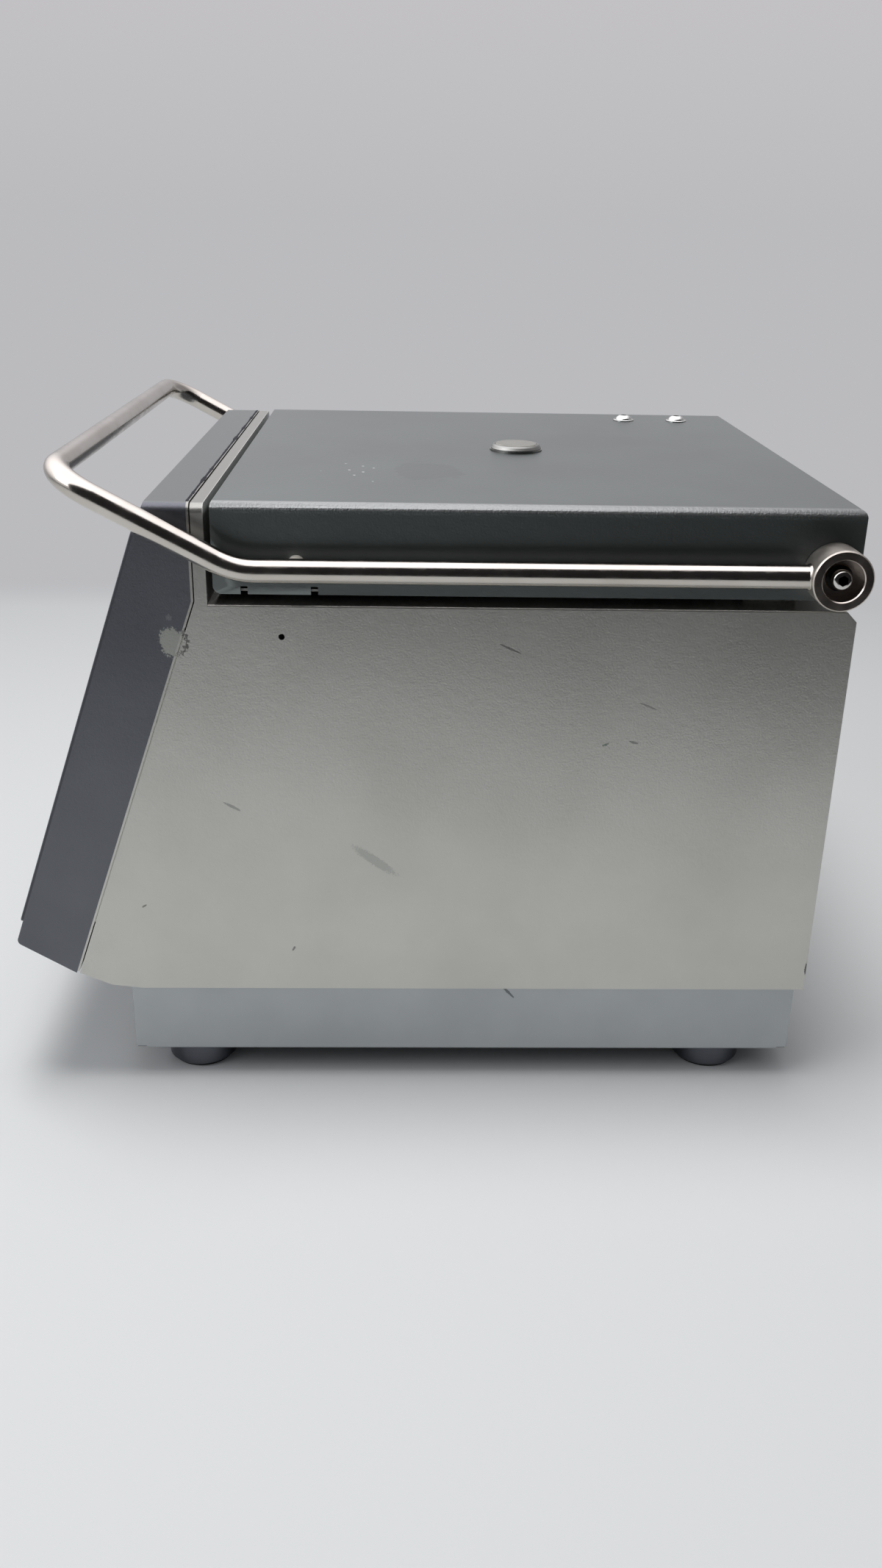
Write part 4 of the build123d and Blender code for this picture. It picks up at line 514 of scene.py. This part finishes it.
def repeated(part, places):
    """One bmesh with a copy of the part at each place."""
    pattern = bpy.data.meshes.new("pattern")
    part.to_mesh(pattern)
    part.free()
    whole = bmesh.new()
    for place in places:
        before = len(whole.verts)
        whole.from_mesh(pattern)
        whole.verts.ensure_lookup_table()
        bmesh.ops.transform(whole, matrix=place, verts=whole.verts[before:])
    bpy.data.meshes.remove(pattern)
    return whole


def facing(spot, direction):
    """Places a part at spot with its Z along direction."""
    return Matrix.Translation(spot) @ Vector(direction).to_track_quat("Z", "Y").to_matrix().to_4x4()


def screws(name, radius, height, socket, spots, direction, body):
    """Plated button heads with a round socket, one at each spot, that face along direction."""
    floor = height - 0.45 * socket
    mouth = [(0, floor), (socket, floor), (socket, height)]
    crown = [(radius * 0.62, height * 0.93), (radius * 0.88, height * 0.62), (radius, height * 0.15)]
    head = turned([*mouth, *crown, (radius, 0), (0, 0)])
    places = [facing(spot, direction) for spot in spots]
    piece(name, repeated(head, places), plated_head, body)


def lid_cover():
    """The lid shell with its front top edge drawn in from the wide bend of its sides to a tight fold."""
    wide, tight = 5.5 * MM, 1.4 * MM
    bm = bmesh.new()
    bm.from_mesh(nodes["lid_shell"].data)
    bmesh.ops.remove_doubles(bm, verts=bm.verts, dist=1e-6)
    axis_y, axis_z = lid_low.y + wide, lid_high.z - wide
    for vert in bm.verts:
        y, z = vert.co.y - axis_y, vert.co.z - axis_z
        on_bend = abs(math.hypot(y, z) - wide) < 0.1 * MM
        if on_bend and y < 1e-5 and z > -1e-5:
            vert.co.y = lid_low.y + (vert.co.y - lid_low.y) * tight / wide
    cover = piece("lid_cover", bm, lid_coat, "lid", outward=False)
    cover.modifiers.new("flat_faces_stay_flat", "WEIGHTED_NORMAL").keep_sharp = True
    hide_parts("lid_shell")


def seam_sealant():
    """Old sealant squeezed out of the joint behind the fascia: a ragged bead, smeared wide in places."""
    width, height, length = 1.3 * MM, 0.5 * MM, 2 * SIDE - 12 * MM
    top = fascia_high.z
    seam_y = min(v.co.y for v in nodes["front_bulkhead"].data.vertices if v.co.z > top - MM)
    bm = bmesh.new()
    bmesh.ops.create_cube(bm, size=1.0)
    bmesh.ops.scale(bm, vec=(length, width, height), verts=bm.verts)
    lengthways = [e for e in bm.edges if abs(e.verts[0].co.x - e.verts[1].co.x) > length / 2]
    bmesh.ops.subdivide_edges(bm, edges=lengthways, cuts=150)
    bmesh.ops.translate(bm, vec=(0, seam_y, top), verts=bm.verts)
    for vert in bm.verts:
        x = vert.co.x
        smear = noise.noise(Vector((x * 35, 3.1, 0)))
        crumbs = noise.noise(Vector((x * 330, 7.7, 0)))
        wander = smear + 0.4 * crumbs
        side = 1 if vert.co.y > seam_y else -1
        vert.co.y += side * (max(wander, 0) ** 2 * 2.4 + wander * 0.2) * MM
        if vert.co.z > top:
            vert.co.z += 0.25 * MM * noise.noise(Vector((x * 300, side, 2.0)))
    piece("seam_sealant", bm, old_sealant, "root")


def rear_panel_screws():
    """Four screws up each edge of the rear panel."""
    inset, first, step = 9 * MM, 20 * MM, 75 * MM
    rows = [shell_low.z + first + step * row for row in range(4)]
    spots = [(side * (SIDE - inset), shell_high.y, z) for side in (-1, 1) for z in rows]
    screws("rear_panel_screws", 3.8 * MM, 2.2 * MM, 1.3 * MM, spots, (0, 1, 0), "root")


def inlet_fittings():
    """The two sunk screws of the mains inlet and its three flat contacts."""
    middle_x = (inlet_low.x + inlet_high.x) / 2
    middle_z = (inlet_low.z + inlet_high.z) / 2
    pitch, height = 19.5 * MM, 0.4 * MM
    spots = [(middle_x + side * pitch, inlet_high.y - height, middle_z) for side in (-1, 1)]
    screws("inlet_screws", 2.6 * MM, height, 1.0 * MM, spots, (0, 1, 0), "root")

    sunk, size = 12 * MM, (2.1 * MM, 14.2 * MM, 4.1 * MM)
    places = [
        Matrix.Translation((middle_x - x * MM, inlet_high.y - sunk, middle_z + z * MM))
        for x, z in ((-7, -16), (7, -16), (0, -11.5))
    ]
    blade = bmesh.new()
    bmesh.ops.create_cube(blade, size=1.0)
    bmesh.ops.scale(blade, vec=size, verts=blade.verts)
    bevel_all = {"offset": 0.3 * MM, "segments": 2, "affect": "EDGES", "profile": 0.5, "material": -1}
    bmesh.ops.bevel(blade, geom=blade.edges[:], **bevel_all)
    piece("inlet_contacts", repeated(blade, places), plated_head, "root")


def bracket_screws():
    """Two screws through the foot of each hinge bracket into the deck."""
    inset, foot = 20 * MM, 4 * MM
    low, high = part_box("hinge_brackets")
    spots = [
        (side * (high.x - inset), PIVOT_Y - y * MM, low.z + foot)
        for side in (-1, 1)
        for y in (22, 41)
    ]
    screws("bracket_screws", 4.5 * MM, 2.6 * MM, 1.6 * MM, spots, (0, 0, 1), "root")


def liner_screws():
    """One screw up through the liner into each of its posts."""
    post_radius = 5 * MM
    low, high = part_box("liner_posts")
    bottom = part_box("lid_liner")[0].z
    spots = [
        (x, y, bottom)
        for x in (low.x + post_radius, high.x - post_radius)
        for y in (low.y + post_radius, high.y - post_radius)
    ]
    screws("liner_screws", 4.0 * MM, 2.0 * MM, 1.3 * MM, spots, (0, 0, -1), "lid")


def bail_welds():
    """A dressed weld round the tube where it meets each boss."""
    section = [(7.3, -1.0), (8.3, -0.6), (8.1, 0.3), (7.5, 1.1), (7.3, 1.1), (7.3, -1.0)]
    bead = turned([(radius * MM, along * MM) for radius, along in section])
    spots = [(side * (SIDE + 12 * MM), PIVOT_Y - 18.6 * MM, PIVOT_Z) for side in (-1, 1)]
    places = [facing(spot, (0, -1, 0)) for spot in spots]
    piece("bail_welds", repeated(bead, places), polished, "lid")


def pivot_heads():
    """Polished socket heads of the hinge pivots: a rounded crown with a hexagon sunk in it."""
    height, hexagon_radius, depth = 8.0 * MM, 3.46 * MM, 4.5 * MM
    crown = [(6.5, 0.0), (6.5, 5.4), (6.38, 6.0), (6.0, 6.7), (5.4, 7.25), (4.6, 7.7), (3.8, 8.0)]
    bm = turned([(radius * MM, z * MM) for radius, z in crown], steps=36)
    # the flat between the crown's rim and the hexagon
    rim = [e for e in bm.edges if e.is_boundary and e.verts[0].co.z > height / 2]
    corners = bmesh.ops.create_circle(bm, segments=6, radius=hexagon_radius)["verts"]
    sides = list({edge for vert in corners for edge in vert.link_edges})
    bmesh.ops.subdivide_edges(bm, edges=sides, cuts=5)
    hexagon = [e for e in bm.edges if not e.link_faces]
    bmesh.ops.translate(bm, vec=(0, 0, height), verts=list({v for e in hexagon for v in e.verts}))
    bmesh.ops.bridge_loops(bm, edges=rim + hexagon)
    # the hexagon's walls and floor, and the underside of the head
    mouth = [e for e in bm.edges if e.is_boundary and e.verts[0].co.z > height / 2]
    sunk = bmesh.ops.extrude_edge_only(bm, edges=mouth)["geom"]
    bmesh.ops.translate(bm, vec=(0, 0, -depth), verts=[g for g in sunk if isinstance(g, bmesh.types.BMVert)])
    bmesh.ops.contextual_create(bm, geom=[g for g in sunk if isinstance(g, bmesh.types.BMEdge)])
    bmesh.ops.contextual_create(bm, geom=[e for e in bm.edges if e.is_boundary])
    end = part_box("pivot_screws")[1].x
    places = [facing((side * (end - height), PIVOT_Y, PIVOT_Z), (side, 0, 0)) for side in (-1, 1)]
    heads = piece("pivot_heads", repeated(bm, places), bright_steel, "root")
    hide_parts("pivot_screws")


def pocket_numbers():
    """The numbers 1 to 12, engraved beside the carousel's pockets and read from outside."""
    count, ring, height, raised = 12, 47 * MM, 8 * MM, 0.05 * MM
    top = (carousel_low.z + carousel_high.z) / 2 + 4 * MM
    whole = bmesh.new()
    for index in range(count):
        curve = bpy.data.curves.new("number", "FONT")
        curve.body = str(index + 1)
        curve.size = height
        curve.extrude = raised
        curve.align_x = "CENTER"
        curve.align_y = "CENTER"
        text = bpy.data.objects.new("number", curve)
        mesh = bpy.data.meshes.new_from_object(text)
        turn = math.tau * index / count
        spot = (ring * math.cos(turn), CHAMBER_Y + ring * math.sin(turn), top + 0.04 * MM)
        before = len(whole.verts)
        whole.from_mesh(mesh)
        whole.verts.ensure_lookup_table()
        place = Matrix.Translation(spot) @ Matrix.Rotation(turn + math.pi / 2, 4, "Z")
        bmesh.ops.transform(whole, matrix=place, verts=whole.verts[before:])
        bpy.data.objects.remove(text)
        bpy.data.curves.remove(curve)
        bpy.data.meshes.remove(mesh)
    piece("pocket_numbers", whole, engraver_black, "rotor")


def key_top(name):
    """A frame on the middle of a key's top face: X across, Y up the slope, Z outwards."""
    outwards = Vector((0, -math.cos(SLOPE), math.sin(SLOPE)))
    up_slope = Vector((0, math.sin(SLOPE), math.cos(SLOPE)))
    points = [v.co for v in nodes[name].data.vertices]
    reach = max(p.dot(outwards) for p in points)
    top = [p for p in points if p.dot(outwards) > reach - 0.05 * MM]
    middle = Vector([(min(p[i] for p in top) + max(p[i] for p in top)) / 2 for i in range(3)])
    turn = Matrix((Vector((1, 0, 0)), up_slope, outwards)).transposed().to_4x4()
    return Matrix.Translation(middle) @ turn


def symbol(plates):
    """A printed symbol from plates of (corners, turn in degrees, rise, stretch)."""
    radius, thickness = 3.2 * MM, 0.06 * MM
    bm = bmesh.new()
    for corners, turn, rise, stretch in plates:
        before = len(bm.verts)
        bmesh.ops.create_circle(bm, cap_ends=True, segments=corners, radius=radius)
        bm.verts.ensure_lookup_table()
        fresh = bm.verts[before:]
        bmesh.ops.rotate(bm, cent=(0, 0, 0), matrix=Matrix.Rotation(math.radians(turn), 3, "Z"), verts=fresh)
        bmesh.ops.scale(bm, vec=(*stretch, 1), verts=fresh)
        bmesh.ops.translate(bm, vec=(0, rise, 0), verts=fresh)
    raised = bmesh.ops.extrude_face_region(bm, geom=bm.faces[:])["geom"]
    upper = [g for g in raised if isinstance(g, bmesh.types.BMVert)]
    bmesh.ops.translate(bm, vec=(0, 0, thickness), verts=upper)
    return bm


# Arrows up and down, an arrow over a bar, a square and an arrow to the right
SYMBOLS = {
    "key_up": [(3, 0, 0, (1, 1))],
    "key_down": [(3, 180, 0, (1, 1))],
    "key_lid": [(3, 0, 1.0 * MM, (1, 0.8)), (4, 45, -2.6 * MM, (1.2, 0.28))],
    "key_stop": [(4, 45, 0, (1, 1))],
    "key_start": [(3, -90, 0, (1, 1))],
}


def key_symbols():
    """The symbols printed on the five keys, each of which moves with its key."""
    for key, plates in SYMBOLS.items():
        bm = symbol(plates)
        bmesh.ops.transform(bm, matrix=key_top(key), verts=bm.verts)
        piece(key.replace("key", "symbol"), bm, white_ink, key)


lid_cover()
seam_sealant()
rear_panel_screws()
inlet_fittings()
bracket_screws()
liner_screws()
bail_welds()
pivot_heads()
pocket_numbers()
key_symbols()


# Stage: floor, card, air and lamps
BACKDROP = "#bbbbbe"


def seen_rays(tree):
    """1 for the rays of the camera, of gloss and of glass, which are shown the backdrop as it is written."""
    rays = add(tree, "ShaderNodeLightPath")
    shiny = {0: rays.outputs["Is Glossy Ray"], 1: rays.outputs["Is Transmission Ray"]}
    either = add(tree, "ShaderNodeMath", shiny, operation="MAXIMUM").outputs[0]
    seen = {0: rays.outputs["Is Camera Ray"], 1: either}
    return add(tree, "ShaderNodeMath", seen, operation="MAXIMUM").outputs[0]


def stage_floor():
    """A pale floor that turns to the grey of the far wall well behind the object."""
    near, far = -1.02, -1.22
    material, tree = empty_material("floor_paper")
    place = add(tree, "ShaderNodeTexCoord").outputs["Object"]
    axes = add(tree, "ShaderNodeSeparateXYZ", {0: place})
    depth = {"Value": axes.outputs["X"], "From Min": near, "From Max": far}
    beyond = add(tree, "ShaderNodeMapRange", depth, interpolation_type="SMOOTHSTEP").outputs["Result"]
    shown = add(tree, "ShaderNodeMath", {0: beyond, 1: seen_rays(tree)}, operation="MULTIPLY").outputs[0]
    paper = add(tree, "ShaderNodeBsdfDiffuse", {"Color": linear("#e6e7e7")})
    wall = add(tree, "ShaderNodeEmission", {"Color": linear(BACKDROP)})
    both = add(tree, "ShaderNodeMixShader", {0: shown, 1: paper.outputs[0], 2: wall.outputs[0]})
    add(tree, "ShaderNodeOutputMaterial", {"Surface": both.outputs[0]})
    bm = bmesh.new()
    bmesh.ops.create_circle(bm, cap_ends=True, segments=64, radius=9.0)
    linked("floor", bm, material)


def stage_card():
    """A dark card on the camera's side, seen only in gloss: the unlit room that polished steel mirrors."""
    width, height, away, swing = 5.0, 1.8, 1.12, 22
    material, tree = empty_material("dark_card")
    dark = add(tree, "ShaderNodeBsdfDiffuse", {"Color": linear("#2c2a2b")})
    add(tree, "ShaderNodeOutputMaterial", {"Surface": dark.outputs[0]})
    bm = bmesh.new()
    bmesh.ops.create_grid(bm, x_segments=1, y_segments=1, size=0.5)
    turn = Matrix.Rotation(math.radians(swing), 4, "Z") @ Matrix.Rotation(math.radians(90), 4, "Y")
    place = Matrix.Translation((away, 0.0, height / 2 + 0.01)) @ turn
    bmesh.ops.transform(bm, matrix=place @ Matrix.Diagonal((height, width, 1, 1)), verts=bm.verts)
    card = linked("card", bm, material)
    card.visible_camera = False
    card.visible_diffuse = False
    card.visible_transmission = False
    card.visible_shadow = False


def studio_air():
    """Pale air: a backdrop colour to the camera and to gloss, and a soft even light to the rest."""
    world = bpy.data.worlds.new("studio_air")
    bpy.context.scene.world = world
    world.use_nodes = True
    tree = world.node_tree
    tree.nodes.clear()
    place = add(tree, "ShaderNodeTexCoord").outputs["Generated"]
    axes = add(tree, "ShaderNodeSeparateXYZ", {0: place})
    climb = {"Value": axes.outputs["Z"], "From Min": 0.0, "From Max": 0.9, "To Min": 0.02, "To Max": 0.42}
    strength = add(tree, "ShaderNodeMapRange", climb).outputs["Result"]
    light = add(tree, "ShaderNodeBackground", {"Color": linear("#eef1f5"), "Strength": strength})
    rise = {"Value": axes.outputs["Z"], "From Min": 0.0, "From Max": 0.16}
    high = add(tree, "ShaderNodeMapRange", rise).outputs["Result"]
    tones = {0: high, 6: linear(BACKDROP), 7: linear("#c4c2c5")}
    colour = add(tree, "ShaderNodeMix", tones, data_type="RGBA").outputs[2]
    # overhead and towards the window the room is bright: the sheen of the lid, the band on bends and tubes
    lean = add(tree, "ShaderNodeVectorMath", {0: place, 1: (0.0, -0.30, 0.95)}, operation="DOT_PRODUCT")
    overhead = {"Value": lean.outputs["Value"], "From Min": 0.22, "From Max": 0.80}
    bright = add(tree, "ShaderNodeMapRange", {**overhead, "To Min": 1.0, "To Max": 4.2}).outputs["Result"]
    # the room's back end is dimmer
    back = {"Value": axes.outputs["Y"], "From Min": 0.35, "From Max": 0.75, "To Min": 1.0, "To Max": 0.65}
    dim = add(tree, "ShaderNodeMapRange", back).outputs["Result"]
    lit = add(tree, "ShaderNodeMath", {0: bright, 1: dim}, operation="MULTIPLY").outputs[0]
    # only the first mirror image has the bright room, so that no glints of glints lie on the lid
    depth = add(tree, "ShaderNodeLightPath").outputs["Glossy Depth"]
    first = add(tree, "ShaderNodeMath", {0: depth, 1: 1.5}, operation="LESS_THAN").outputs[0]
    shown = add(tree, "ShaderNodeMix", {0: first, 2: 0.8, 3: lit}, data_type="FLOAT").outputs[0]
    backdrop = add(tree, "ShaderNodeBackground", {"Color": colour, "Strength": shown})
    blend = {0: seen_rays(tree), 1: light.outputs[0], 2: backdrop.outputs[0]}
    both = add(tree, "ShaderNodeMixShader", blend)
    add(tree, "ShaderNodeOutputWorld", {"Surface": both.outputs[0]})


def lamp(name, spot, aim, size, power, colour):
    """A soft square lamp that points at aim."""
    light = bpy.data.lights.new(name, "AREA")
    light.shape = "SQUARE"
    light.size = size
    light.energy = power
    light.color = linear(colour)[:3]
    holder = bpy.data.objects.new(name, light)
    bpy.context.scene.collection.objects.link(holder)
    holder.location = spot
    holder.visible_camera = False
    holder.rotation_euler = (Vector(aim) - Vector(spot)).to_track_quat("-Z", "Y").to_euler()
    return holder


stage_floor()
stage_card()
studio_air()
ceiling = lamp("ceiling", (0.15, -0.2, 2.5), (0.0, -0.1, 0.2), 1.0, 37.0, "#ffffff")
# the bright air already stands for it in mirror images
ceiling.visible_glossy = False
lamp("window", (1.0, -2.0, 1.5), (0.2, -0.2, 0.1), 1.4, 14.0, "#f8faff")


def photograph_camera():
    """A phone held upright off the right side, looking a little down."""
    yaw, pitch, roll = (math.radians(angle) for angle in (1.70, 23.21, 1.08))
    focal_pixels, image_height, sensor = 1800.0, 2133.0, 36.0
    forward = Vector((-math.cos(yaw) * math.cos(pitch), math.sin(yaw) * math.cos(pitch), -math.sin(pitch)))
    level = Vector((math.sin(yaw), math.cos(yaw), 0))
    over = level.cross(forward)
    right = math.cos(roll) * level + math.sin(roll) * over
    up = math.cos(roll) * over - math.sin(roll) * level
    camera = bpy.data.cameras.new("camera")
    camera.sensor_width = sensor
    camera.lens = sensor * focal_pixels / image_height
    holder = bpy.data.objects.new("camera", camera)
    bpy.context.scene.collection.objects.link(holder)
    holder.location = (1.014, lid_high.y - 0.2832, lid_high.z + 0.1606)
    holder.rotation_euler = Matrix((right, up, -forward)).transposed().to_euler()
    bpy.context.scene.camera = holder


photograph_camera()

bpy.context.scene.view_settings.view_transform = "Standard"
